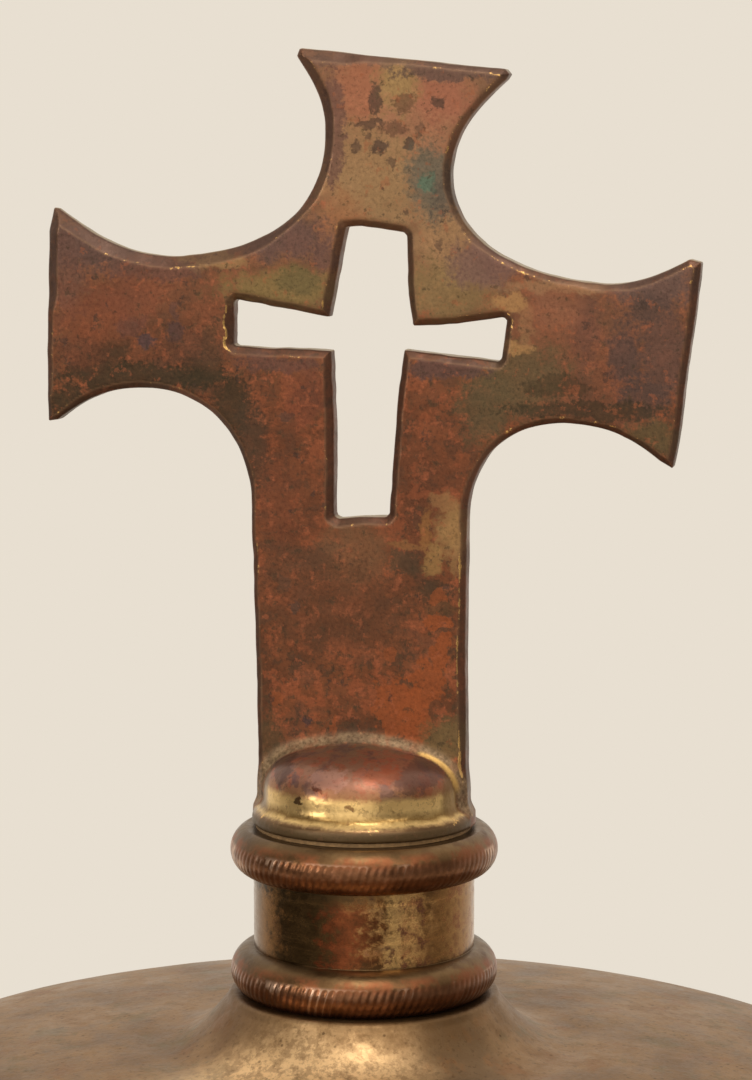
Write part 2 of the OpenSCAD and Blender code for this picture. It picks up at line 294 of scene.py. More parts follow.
class Mat:
    """A material being built; P is the object position in millimetres."""

    def __init__(self, name, offset=(0, 0, 0)):
        self.m = bpy.data.materials.new(name)
        self.m.use_nodes = True
        self.t = self.m.node_tree
        self.t.nodes.clear()
        out = self.n("ShaderNodeOutputMaterial")
        self.b = self.n("ShaderNodeBsdfPrincipled")
        self.link(self.b.outputs[0], out.inputs[0])
        tc = self.n("ShaderNodeTexCoord")
        s = self.vec("SCALE", tc.outputs["Object"], scale=1000.0)
        self.P = self.vec("SUBTRACT", s, offset)

    def n(self, kind):
        return self.t.nodes.new(kind)

    def link(self, a, b):
        self.t.links.new(a, b)

    def put(self, sock, v):
        if isinstance(v, bpy.types.NodeSocket):
            self.link(v, sock)
        elif isinstance(v, (tuple, list)) and len(v) == 3 and sock.type == "RGBA":
            sock.default_value = (*v, 1.0)
        else:
            sock.default_value = v

    def vec(self, op, a, b=None, c=None, scale=None):
        k = self.n("ShaderNodeVectorMath")
        k.operation = op
        self.put(k.inputs[0], a)
        if b is not None:
            self.put(k.inputs[1], b)
        if c is not None:
            self.put(k.inputs[2], c)
        if scale is not None:
            self.put(k.inputs["Scale"], scale)
        return k.outputs["Value"] if op in ("LENGTH", "DOT_PRODUCT", "DISTANCE") else k.outputs["Vector"]

    def m_(self, op, a, b=0.5, c=0.5, clamp=False):
        k = self.n("ShaderNodeMath")
        k.operation = op
        k.use_clamp = clamp
        self.put(k.inputs[0], a)
        self.put(k.inputs[1], b)
        self.put(k.inputs[2], c)
        return k.outputs[0]

    def step(self, v, a, b, to0=0.0, to1=1.0):
        k = self.n("ShaderNodeMapRange")
        k.interpolation_type = "SMOOTHSTEP"
        self.put(k.inputs["Value"], v)
        for s, x in (("From Min", a), ("From Max", b), ("To Min", to0), ("To Max", to1)):
            k.inputs[s].default_value = x
        return k.outputs["Result"]

    def noise(self, wl, detail=3.0, rough=0.55, vec=None, dist=0.0, colour=False, stretch=None, offset=None):
        v = self.P if vec is None else vec
        if stretch is not None:
            v = self.vec("MULTIPLY", v, stretch)
        if offset is not None:
            v = self.vec("ADD", v, offset)
        k = self.n("ShaderNodeTexNoise")
        self.put(k.inputs["Vector"], v)
        k.inputs["Scale"].default_value = 1.0 / wl
        k.inputs["Detail"].default_value = detail
        k.inputs["Roughness"].default_value = rough
        k.inputs["Distortion"].default_value = dist
        return k.outputs["Color"] if colour else k.outputs["Fac"]

    def voronoi(self, wl, vec=None, feature="F1", rand=1.0):
        k = self.n("ShaderNodeTexVoronoi")
        k.feature = feature
        self.put(k.inputs["Vector"], self.P if vec is None else vec)
        k.inputs["Scale"].default_value = 1.0 / wl
        k.inputs["Randomness"].default_value = rand
        return k

    def mix(self, f, a, b, blend="MIX"):
        k = self.n("ShaderNodeMix")
        k.data_type = "RGBA"
        k.blend_type = blend
        self.put(k.inputs[0], f)
        self.put(k.inputs[6], a)
        self.put(k.inputs[7], b)
        return k.outputs[2]

    def fmix(self, f, a, b):
        k = self.n("ShaderNodeMix")
        k.data_type = "FLOAT"
        self.put(k.inputs[0], f)
        self.put(k.inputs[2], a)
        self.put(k.inputs[3], b)
        return k.outputs[0]

    def ramp(self, f, stops):
        k = self.n("ShaderNodeValToRGB")
        self.put(k.inputs[0], f)
        e = k.color_ramp.elements
        while len(e) < len(stops):
            e.new(0.5)
        for el, (p, c) in zip(e, stops):
            el.position = p
            el.color = (*c, 1.0)
        return k.outputs[0]

    def attr(self, name):
        k = self.n("ShaderNodeAttribute")
        k.attribute_name = name
        return k.outputs["Fac"]

    def bump(self, h, dist_mm, strength=1.0, prev=None):
        k = self.n("ShaderNodeBump")
        k.inputs["Strength"].default_value = strength
        k.inputs["Distance"].default_value = dist_mm * 0.001
        self.put(k.inputs["Height"], h)
        if prev is not None:
            self.link(prev, k.inputs["Normal"])
        return k.outputs["Normal"]

    def up(self):
        """Upward part of the surface normal, in the object's own space."""
        g = self.n("ShaderNodeTexCoord")
        s = self.n("ShaderNodeSeparateXYZ")
        self.link(g.outputs["Normal"], s.inputs[0])
        return s.outputs["Z"]

    def xyz(self, v=None):
        s = self.n("ShaderNodeSeparateXYZ")
        self.link(self.P if v is None else v, s.inputs[0])
        return s.outputs

    def finish(self, colour, rough, normal=None, metallic=1.0):
        self.put(self.b.inputs["Base Color"], colour)
        self.put(self.b.inputs["Roughness"], rough)
        self.put(self.b.inputs["Metallic"], metallic)
        if normal is not None:
            self.link(normal, self.b.inputs["Normal"])
        return self.m


GOLD = lin(214, 170, 96)
BRASS = lin(176, 132, 74)
OLIVE = lin(120, 98, 62)
DUSTY = lin(150, 124, 92)
RED = lin(138, 74, 46)
DEEP = lin(96, 52, 34)
ORANGE = lin(146, 78, 42)
PURPLE = lin(104, 78, 72)
BLACK = lin(44, 38, 36)
TAN = lin(176, 146, 108)


# ---------------------------------------------------------------- the cross
def outline():
    pts = [[-16.9, 5]]
    pts += bez([-16.9, 11], [-17.0, 30], [-17.5, 42], [-17.9, 56], 10)
    pts += bez([-17.9, 56], [-18.4, 66.6], [-26.6, 72.8], [-35, 72.8], 26)
    pts += bez([-35, 72.8], [-41, 72.8], [-45.6, 71.2], [-50.6, 66.5], 14)
    pts += [[-51.1, 67.2]]
    pts += bez([-51.1, 80], [-51, 88], [-50.9, 96], [-50.6, 100.6], 5)
    pts += [[-50, 101.1]]
    pts += bez([-49.2, 101], [-43, 96.2], [-37, 93.6], [-30.5, 93.6], 18)
    pts += bez([-30.5, 93.6], [-15, 94.3], [-6, 100.6], [-5.9, 113], 30)
    pts += bez([-5.9, 113], [-5.9, 119], [-9.1, 122.5], [-10.8, 125.2], 16)
    pts += [[-9.9, 125.9], [22.4, 122.6], [23.1, 121.8]]
    pts += bez([22.6, 121], [18, 117], [14, 113], [14, 106], 20)
    pts += bez([14, 106], [14, 97.7], [22.4, 91.1], [38, 89.9], 30)
    pts += bez([38, 89.9], [43, 89.9], [47, 91.6], [52.3, 94.5], 12)
    pts += [[52.8, 93.3]]
    pts += bez([52.7, 91], [51.8, 84], [50.4, 74], [49.3, 62.5], 6)
    pts += [[48.8, 61.7]]
    pts += bez([46.8, 62.9], [42.6, 66.2], [38.6, 68], [33, 68.4], 16)
    pts += bez([33, 68.4], [24.6, 68.7], [17, 64.3], [16.8, 53], 26)
    pts += bez([16.8, 53], [16.5, 40], [16.4, 30], [16.8, 10], 10)
    pts += [[16.8, 5]]
    return np.array(pts, float)


PIERCED = np.array([
    [-2.5, 98.3], [0, 98.5], [6.6, 97.6], [7.1, 97.1], [7.3, 88], [8.1, 83.2],
    [15, 83.5], [22.3, 84.6], [22.9, 84.2], [22.1, 78.3], [21.6, 77.8], [6.8, 79.3],
    [5.9, 74], [4.9, 62], [4.5, 53.7], [3.9, 53.1], [-3.8, 52.8], [-4.4, 53.2],
    [-4.6, 66], [-4.9, 79.1], [-12, 79.4], [-20.2, 79.5], [-20.7, 79.9], [-20.6, 86.5],
    [-20.1, 87], [-5.3, 84.4], [-4, 91]], float)

_half = [[17.5, BOSS - RING_UP], [17.75, 4.6]] + bez([17.8, 5.1], [17.8, 6.9], [15.9, 6.4], [15.9, 8.9], 24) \
    + bez([15.9, 8.9], [15.9, 11.5], [15, 14.4], [9.8, 15.9], 24) + bez([9.8, 15.9], [6.5, 16.8], [3.5, 17.4], [0, 17.5], 12)
SHOULDER = np.array(_half + [[0, 17.5]] + [[-x, z] for x, z in reversed(_half)], float)
OUTER = outline()
HALF_T = 0.5 * 5.0
BORE_R = 5.05


class Table:
    """A function of two coordinates kept on a regular grid and read back bilinearly."""

    def __init__(self, f, x0, x1, z0, z1, step):
        self.x0, self.z0, self.s = x0, z0, step
        gx, gz = np.arange(x0, x1 + step, step), np.arange(z0, z1 + step, step)
        X, Z = np.meshgrid(gx, gz, indexing="ij")
        self.t = f(X.ravel(), Z.ravel()).reshape(X.shape)

    def __call__(self, x, z):
        n, m = self.t.shape
        u = np.clip((x - self.x0) / self.s, 0, n - 1.001)
        w = np.clip((z - self.z0) / self.s, 0, m - 1.001)
        i, j = u.astype(int), w.astype(int)
        u, w = u - i, w - j
        t = self.t
        return (t[i, j] * (1 - u) + t[i + 1, j] * u) * (1 - w) + (t[i, j + 1] * (1 - u) + t[i + 1, j + 1] * u) * w


D_OUT = Table(lambda x, z: psdf(x, z, OUTER), -54, 56, 0, 130, 0.2)
D_IN = Table(lambda x, z: -psdf(x, z, PIERCED), -54, 56, 0, 130, 0.2)
D_DOME = Table(lambda x, z: psdf(x, z, SHOULDER), 0, 60, -2, 30, 0.12)


def smax(a, b, k):
    h = np.clip(k - np.abs(a - b), 0, None) / k
    return np.maximum(a, b) + h * h * k * 0.25


def cross_parts(p):
    """Distances of the cross: outline edge, plate, half thickness, at points in mm (z from the upper ring)."""
    x, y, z = p[:, 0], p[:, 1], p[:, 2]
    # a hand-filed outline: small slow waves along the edge
    wob = 0.07 * vnoise(p * [1, 0.2, 1], 5.0, 3) + 0.04 * vnoise(p * [1, 0.4, 1], 1.9, 5) - 0.03
    d_in = D_IN(x, z)
    d2 = np.maximum(D_OUT(x, z), d_in)
    inner = smooth(-6.0, -3.0, d_in)
    d2 = d2 + wob * (1 + 0.6 * inner)
    half = HALF_T - 0.04 + 0.05 * vnoise(p, 14.0, 11) - 0.08 * smooth(12, 3, -d2)
    # filed bevels: width in the plate's plane and depth through it
    w = 0.95 + 0.16 * vnoise(p, 8.0, 7) + 0.10 * vnoise(p, 2.6, 9)
    w = w + 0.85 * smooth(-8, -18, x) * smooth(84, 88, z) + 0.75 * smooth(1, -3, x) * smooth(97, 106, z)
    w = w * (1 - inner) + (1.15 + 0.16 * vnoise(p, 4.0, 13)) * inner
    w = w + inner * smooth(-16, -19, x) * (0.35 * vnoise(p * [0.3, 1, 1], 1.7, 51) + 0.25 * vnoise(p * [0.3, 1, 1], 0.8, 53))
    yy = np.abs(y) - half
    bev = (d2 * 0.60 + yy * 0.80 + w * 0.60)
    plate = smax(smax(d2, bev, 0.35), smax(yy, bev, 0.16), 0.2)
    return d2, plate, half


def cross_sdf(p):
    d2, plate, half = cross_parts(p)
    rho = np.hypot(p[:, 0], p[:, 1])
    near = p[:, 2] < 30
    dome = np.full(len(p), 50.0)
    if near.any():
        dome[near] = D_DOME(rho[near], p[near, 2]) + 0.05 * vnoise(p[near], 7.0, 21)
    # a cast fillet that ends in a faint crease on the dome
    r = 2.7
    sunk = dome + 0.28
    u, w = np.maximum(r - plate, 0), np.maximum(r - sunk, 0)
    fil = np.maximum(r, np.minimum(plate, sunk)) - np.hypot(u, w)
    f = np.minimum(np.minimum(fil, dome), plate)
    # nothing may grow past the rim or below the seat
    base = (BOSS - RING_UP) - p[:, 2]
    f = np.maximum(f, base)
    f = np.where(p[:, 2] < 9, np.maximum(f, rho - 17.82), f)
    bore = np.maximum(rho - BORE_R, p[:, 2] - (STUD_HI - RING_UP + 1.5))
    bore = np.minimum(bore, np.maximum(rho - 6.0, p[:, 2] - (BOSS - RING_UP + 0.8)))
    return np.maximum(f, -bore)


def make_cross():
    h = 0.33
    gx, gy, gz = grid_axes((-52, -18.4, 3.8), (53.6, 18.4, 126.5), h)
    d2 = np.maximum(D_OUT(*np.meshgrid(gx, gz, indexing="ij")), D_IN(*np.meshgrid(gx, gz, indexing="ij"))).astype(np.float32)
    phi = np.maximum(d2[:, None, :], (np.abs(gy) - HALF_T + 0.05).astype(np.float32)[None, :, None])
    # the low part, where plate and dome blend, is sampled in full
    kz = gz < 24
    X3, Y3, Z3 = np.meshgrid(gx, gy, gz[kz], indexing="ij")
    low = phi[:, :, kz]
    m = np.abs(X3) < 21
    low[m] = cross_sdf(np.stack([X3[m], Y3[m], Z3[m]], 1))
    phi[:, :, kz] = low
    v, q = surface_nets(phi, (gx[0], gy[0], gz[0]), h)
    v = relax(v, cross_sdf, 3)
    d2, plate, half = cross_parts(v)
    rho = np.hypot(v[:, 0], v[:, 1])
    dome = np.where(v[:, 2] < 26, D_DOME(rho, v[:, 2]), 50.0)
    # shallow hand-worked unevenness, kept inside the casting's own size
    n = 0.030 * vnoise(v, 3.2, 31) + 0.016 * vnoise(v, 1.4, 33)
    g = np.stack([(cross_sdf(v + d) - cross_sdf(v - d)) / 0.1 for d in np.eye(3) * 0.05], 1)
    g /= np.maximum(np.linalg.norm(g, axis=1), 1e-6)[:, None]
    keep = smooth(0.2, 1.0, v[:, 2] - (BOSS - RING_UP))
    v = v + g * ((n - 0.03) * keep)[:, None]
    v[:, 2] = np.minimum(v[:, 2], 125.98)
    # where things are: face edge, bevel, side wall, dome, fillet
    yy = np.abs(v[:, 1]) - half
    plane_y = smooth(0.80, 0.97, np.abs(g[:, 1]))
    wall = smooth(0.30, 0.12, np.abs(g[:, 1])) * smooth(0.6, 1.4, dome)
    on_bev = (1 - plane_y) * (1 - wall) * smooth(1.2, 2.2, dome)
    crease = np.exp(-((yy + 0.02) / 0.16) ** 2) * (1 - smooth(0.90, 0.992, np.abs(g[:, 1]))) * smooth(0.8, 1.6, dome)
    rim = np.exp(-(((rho - 17.3) / 0.5) ** 2)) * np.exp(-(((v[:, 2] - 6.2) / 0.6) ** 2))
    on_dome = smooth(0.22, 0.0, dome) * smooth(-0.6, 0.4, np.abs(v[:, 1]) - HALF_T + 0.3)
    fillet = smooth(0.05, 0.35, dome) * smooth(3.0, 1.8, dome) * smooth(0.02, 0.30, plate) * smooth(24, 20, v[:, 2])
    v[:, 2] += RING_UP
    ob = mesh_from("cross", v, q)
    # worn edges, plus painted glints along the face edges and round the dome's rim
    add_attr(ob, "edge_wear_and_glint", np.clip(crease + 0.9 * rim, 0, 1))
    add_attr(ob, "cavity", fillet)
    add_attr(ob, "dome", on_dome)
    add_attr(ob, "lip", smooth(0.75, 0.35, dome) * smooth(0.04, 0.13, dome) * smooth(0.02, 0.30, plate))
    add_attr(ob, "bevel", np.clip(on_bev, 0, 1))
    add_attr(ob, "wall", np.clip(wall, 0, 1))
    add_attr(ob, "edge_mm", np.clip(-d2, 0, 20))
    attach(ob, "cross")
    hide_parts("cross_casting")
    return ob


# patches of the patina, and painted shade (the SHADE rows) along the lower edges of the arms: centre x, z (mm), radii,
# colour, strength
SPOT = lin(84, 64, 54)
# SHADE: painted shade for the lower edges of the arms
SHADE = lin(60, 50, 34)
PATCHES = [
    (0.0, 60.0, 30.0, 20.0, lin(118, 68, 46), 0.3),
    (-34.0, 84.0, 18.0, 14.0, lin(104, 62, 44), 0.45),
    (37.0, 80.0, 16.0, 14.0, lin(120, 80, 62), 0.45),
    # top arm
    (5.0, 114.0, 14.0, 11.0, lin(162, 116, 88), 0.7),
    (0.0, 119.0, 3.6, 5.0, lin(164, 102, 76), 0.6),
    (12.5, 118.2, 4.4, 3.6, lin(162, 102, 80), 0.7),
    (2.0, 106.0, 8.0, 7.5, lin(154, 124, 88), 0.85),
    (0.0, 111.0, 5.0, 4.0, lin(152, 118, 84), 0.6),
    (13.3, 97.3, 5.2, 9.5, lin(156, 122, 88), 0.85),
    (14.1, 88.8, 7.0, 4.6, lin(134, 110, 74), 0.8),
    (-12.0, 88.6, 9.4, 3.0, lin(132, 110, 70), 0.95),
    (-9.5, 89.8, 3.4, 1.8, lin(104, 92, 60), 0.7),
    (-3.0, 97.0, 3.4, 6.0, lin(158, 108, 74), 0.7),
    (5.7, 120.3, 3.0, 4.0, lin(158, 128, 86), 0.95),
    (6.6, 117.4, 1.8, 1.4, lin(104, 70, 54), 0.7),
    (14.6, 122.4, 9.0, 1.5, lin(100, 78, 70), 0.85),
    (-1.0, 124.0, 8.0, 1.2, lin(108, 84, 76), 0.6),
    (-4.4, 114.0, 1.6, 9.0, lin(112, 80, 70), 0.8),
    (2.3, 118.2, 1.0, 2.4, SPOT, 0.8),
    (1.8, 114.4, 2.8, 0.6, lin(92, 68, 56), 0.8),
    (5.6, 113.6, 2.4, 0.8, lin(104, 72, 56), 0.7),
    (3.2, 111.0, 1.1, 1.2, SPOT, 0.85),
    (-0.8, 111.4, 0.8, 1.0, SPOT, 0.7),
    (8.1, 111.3, 0.8, 1.0, SPOT, 0.85),
    (11.7, 117.2, 0.8, 0.9, SPOT, 0.8),
    (5.0, 108.8, 0.7, 0.7, SPOT, 0.6),
    (1.4, 112.8, 0.5, 0.6, SPOT, 0.6),
    (9.6, 113.4, 0.6, 1.0, SPOT, 0.5),
    (11.3, 105.6, 3.8, 5.0, lin(106, 98, 84), 0.9),
    (10.7, 105.4, 1.4, 1.6, lin(88, 116, 98), 0.75),
    (13.4, 103.4, 2.0, 3.4, lin(90, 80, 72), 0.6),
    (19.6, 93.4, 5.0, 3.6, lin(122, 92, 84), 0.85),
    (12.6, 96.0, 0.8, 0.9, SPOT, 0.6),
    # left arm
    (-12.8, 96.6, 8.0, 3.0, lin(104, 78, 72), 0.85),
    (-5.6, 93.6, 2.2, 2.0, lin(104, 76, 68), 0.8),
    (-24.1, 93.0, 6.0, 1.3, lin(150, 118, 80), 0.8),
    (-42.5, 95.4, 9.0, 3.8, lin(94, 72, 66), 0.9),
    (-33.0, 91.6, 7.0, 1.8, lin(106, 74, 64), 0.75),
    (-47.5, 90.0, 3.0, 6.0, lin(108, 76, 66), 0.6),
    # painted shade along the lower edge of the left arm
    (-35.6, 74.5, 13.0, 1.8, SHADE, 0.8),
    (-47.5, 70.4, 3.6, 2.6, SHADE, 0.8),
    (-26.0, 75.0, 4.2, 2.4, SHADE, 0.75),
    (-20.6, 70.4, 3.0, 4.4, SHADE, 0.8),
    (-17.4, 64.6, 2.6, 7.0, lin(72, 56, 42), 0.75),
    (-24.0, 79.6, 1.4, 3.4, lin(92, 66, 46), 0.6),
    (-34.3, 80.0, 1.3, 1.3, lin(82, 64, 66), 0.8),
    (-30.2, 81.6, 1.5, 1.5, lin(84, 62, 60), 0.75),
    (-29.9, 84.8, 0.7, 1.6, lin(86, 64, 60), 0.5),
    (-40.0, 77.4, 2.8, 2.4, SHADE, 0.6),
    (-43.0, 84.0, 5.0, 4.0, lin(130, 74, 50), 0.45),
    (-45.0, 78.0, 4.0, 2.6, lin(92, 58, 42), 0.6),
    (-27.0, 79.0, 4.0, 2.4, lin(88, 60, 46), 0.5),
    (-37.0, 82.6, 2.2, 1.6, lin(96, 66, 60), 0.5),
    (-38.0, 87.0, 6.0, 3.0, lin(128, 74, 54), 0.5),
    # right arm
    (45.9, 90.4, 7.6, 3.0, lin(104, 82, 76), 0.85),
    (47.0, 80.0, 3.6, 8.0, lin(98, 72, 64), 0.7),
    (41.5, 79.0, 2.2, 5.0, lin(84, 66, 62), 0.75),
    (44.6, 86.4, 2.6, 2.2, lin(86, 68, 62), 0.7),
    (35.2, 83.2, 2.2, 5.0, lin(104, 70, 60), 0.5),
    (44.5, 72.5, 3.0, 3.0, lin(80, 64, 60), 0.6),
    (25.4, 75.6, 6.4, 5.8, lin(98, 84, 58), 0.75),
    (20.0, 70.8, 4.2, 5.6, lin(94, 80, 56), 0.75),
    # painted shade along the lower edge of the right arm
    (36.0, 70.4, 12.0, 1.3, SHADE, 0.7),
    (31.0, 74.0, 5.0, 1.6, SHADE, 0.5),
    (46.4, 66.4, 4.4, 2.4, lin(94, 80, 54), 0.8),
    (24.6, 80.4, 2.6, 1.0, lin(170, 130, 84), 0.7),
    (23.6, 87.0, 2.6, 1.4, lin(176, 134, 88), 0.75),
    (26.5, 83.6, 1.2, 3.0, lin(160, 118, 82), 0.5),
    (31.0, 89.4, 8.0, 1.0, lin(156, 118, 86), 0.7),
    (31.0, 85.4, 3.6, 3.4, lin(150, 98, 72), 0.5),
    (13.4, 76.6, 6.6, 1.6, lin(96, 70, 64), 0.85),
    (-13.0, 77.0, 6.5, 1.3, lin(100, 70, 62), 0.7),
    # stem
    (14.6, 51.5, 2.4, 4.2, lin(154, 120, 78), 0.9),
    (11.6, 46.6, 1.8, 2.2, lin(150, 116, 72), 0.8),
    (13.0, 55.5, 2.4, 1.4, lin(146, 106, 70), 0.7),
    (15.4, 47.5, 1.0, 3.0, lin(152, 118, 78), 0.6),
    (6.8, 46.0, 3.2, 1.8, lin(76, 60, 44), 0.75),
    (11.5, 41.8, 3.2, 1.6, lin(72, 56, 40), 0.7),
    (12.6, 38.5, 2.6, 1.2, lin(84, 64, 42), 0.6),
    (-0.9, 47.4, 5.4, 5.0, lin(118, 86, 60), 0.6),
    (-9.0, 46.0, 6.0, 2.6, lin(94, 66, 48), 0.5),
    (-4.0, 38.0, 12.0, 7.0, lin(96, 62, 42), 0.6),
    (6.2, 22.6, 3.8, 5.2, ORANGE, 0.8),
    (8.6, 21.2, 3.0, 4.2, ORANGE, 0.8),
    (10.6, 27.0, 2.6, 3.4, ORANGE, 0.8),
    (12.9, 31.8, 1.5, 3.0, ORANGE, 0.8),
    (11.8, 36.6, 2.3, 1.0, ORANGE, 0.8),
    (12.4, 40.6, 1.3, 1.2, ORANGE, 0.6),
    (4.2, 31.6, 0.7, 1.0, ORANGE, 0.5),
    (-14.0, 23.6, 1.3, 1.0, ORANGE, 0.45),
    (-4.2, 19.6, 0.5, 1.6, ORANGE, 0.5),
    (1.0, 58.0, 0.5, 1.4, ORANGE, 0.4),
    (10.2, 51.0, 0.8, 3.4, lin(148, 104, 60), 0.6),
    (7.4, 48.8, 3.0, 0.6, lin(140, 98, 60), 0.6),
    (-10.6, 38.5, 0.7, 0.8, SPOT, 0.7),
    (-8.7, 20.4, 0.8, 0.9, lin(66, 54, 56), 0.8),
    (-12.6, 42.0, 1.2, 1.0, lin(88, 66, 52), 0.5),
    (-15.2, 16.5, 2.2, 4.0, lin(84, 68, 46), 0.7),
    (13.8, 18.0, 3.4, 3.6, lin(112, 92, 60), 0.85),
    (-11.5, 69.0, 1.0, 0.9, SPOT, 0.7),
    (-9.0, 72.0, 3.0, 4.0, lin(118, 66, 50), 0.4),
    (-13.4, 56.0, 3.4, 7.0, lin(114, 66, 46), 0.35),
]


# places where the edge is rubbed to bright metal and carries a painted highlight: x, z, radii, strength
RUBBED_EDGES_AND_GLINTS = [(-20.8, 83.4, 1.6, 3.6, 1.0), (-20.2, 79.6, 2.2, 1.1, 0.9), (-5.2, 84.9, 1.1, 1.5, 1.0), (-15.0, 85.8, 4.0, 0.9, 0.35),
          (16.2, 36.0, 1.5, 14.0, 0.55), (16.4, 16.0, 1.6, 7.0, 0.9), (-32.0, 93.4, 8.0, 1.6, 0.45), (22.0, 121.0, 3.0, 3.0, 0.5),
          (-9.0, 124.0, 3.0, 3.0, 0.4), (24.5, 84.2, 2.2, 1.2, 0.6), (17.0, 84.0, 4.0, 1.2, 0.5), (52.0, 92.6, 2.0, 2.0, 0.4),
          (-50.2, 99.5, 1.6, 2.2, 0.5), (20.0, 92.0, 8.0, 4.0, 0.35), (-50.4, 68.4, 1.6, 2.0, 0.4), (40.0, 66.2, 9.0, 2.4, 0.4)]


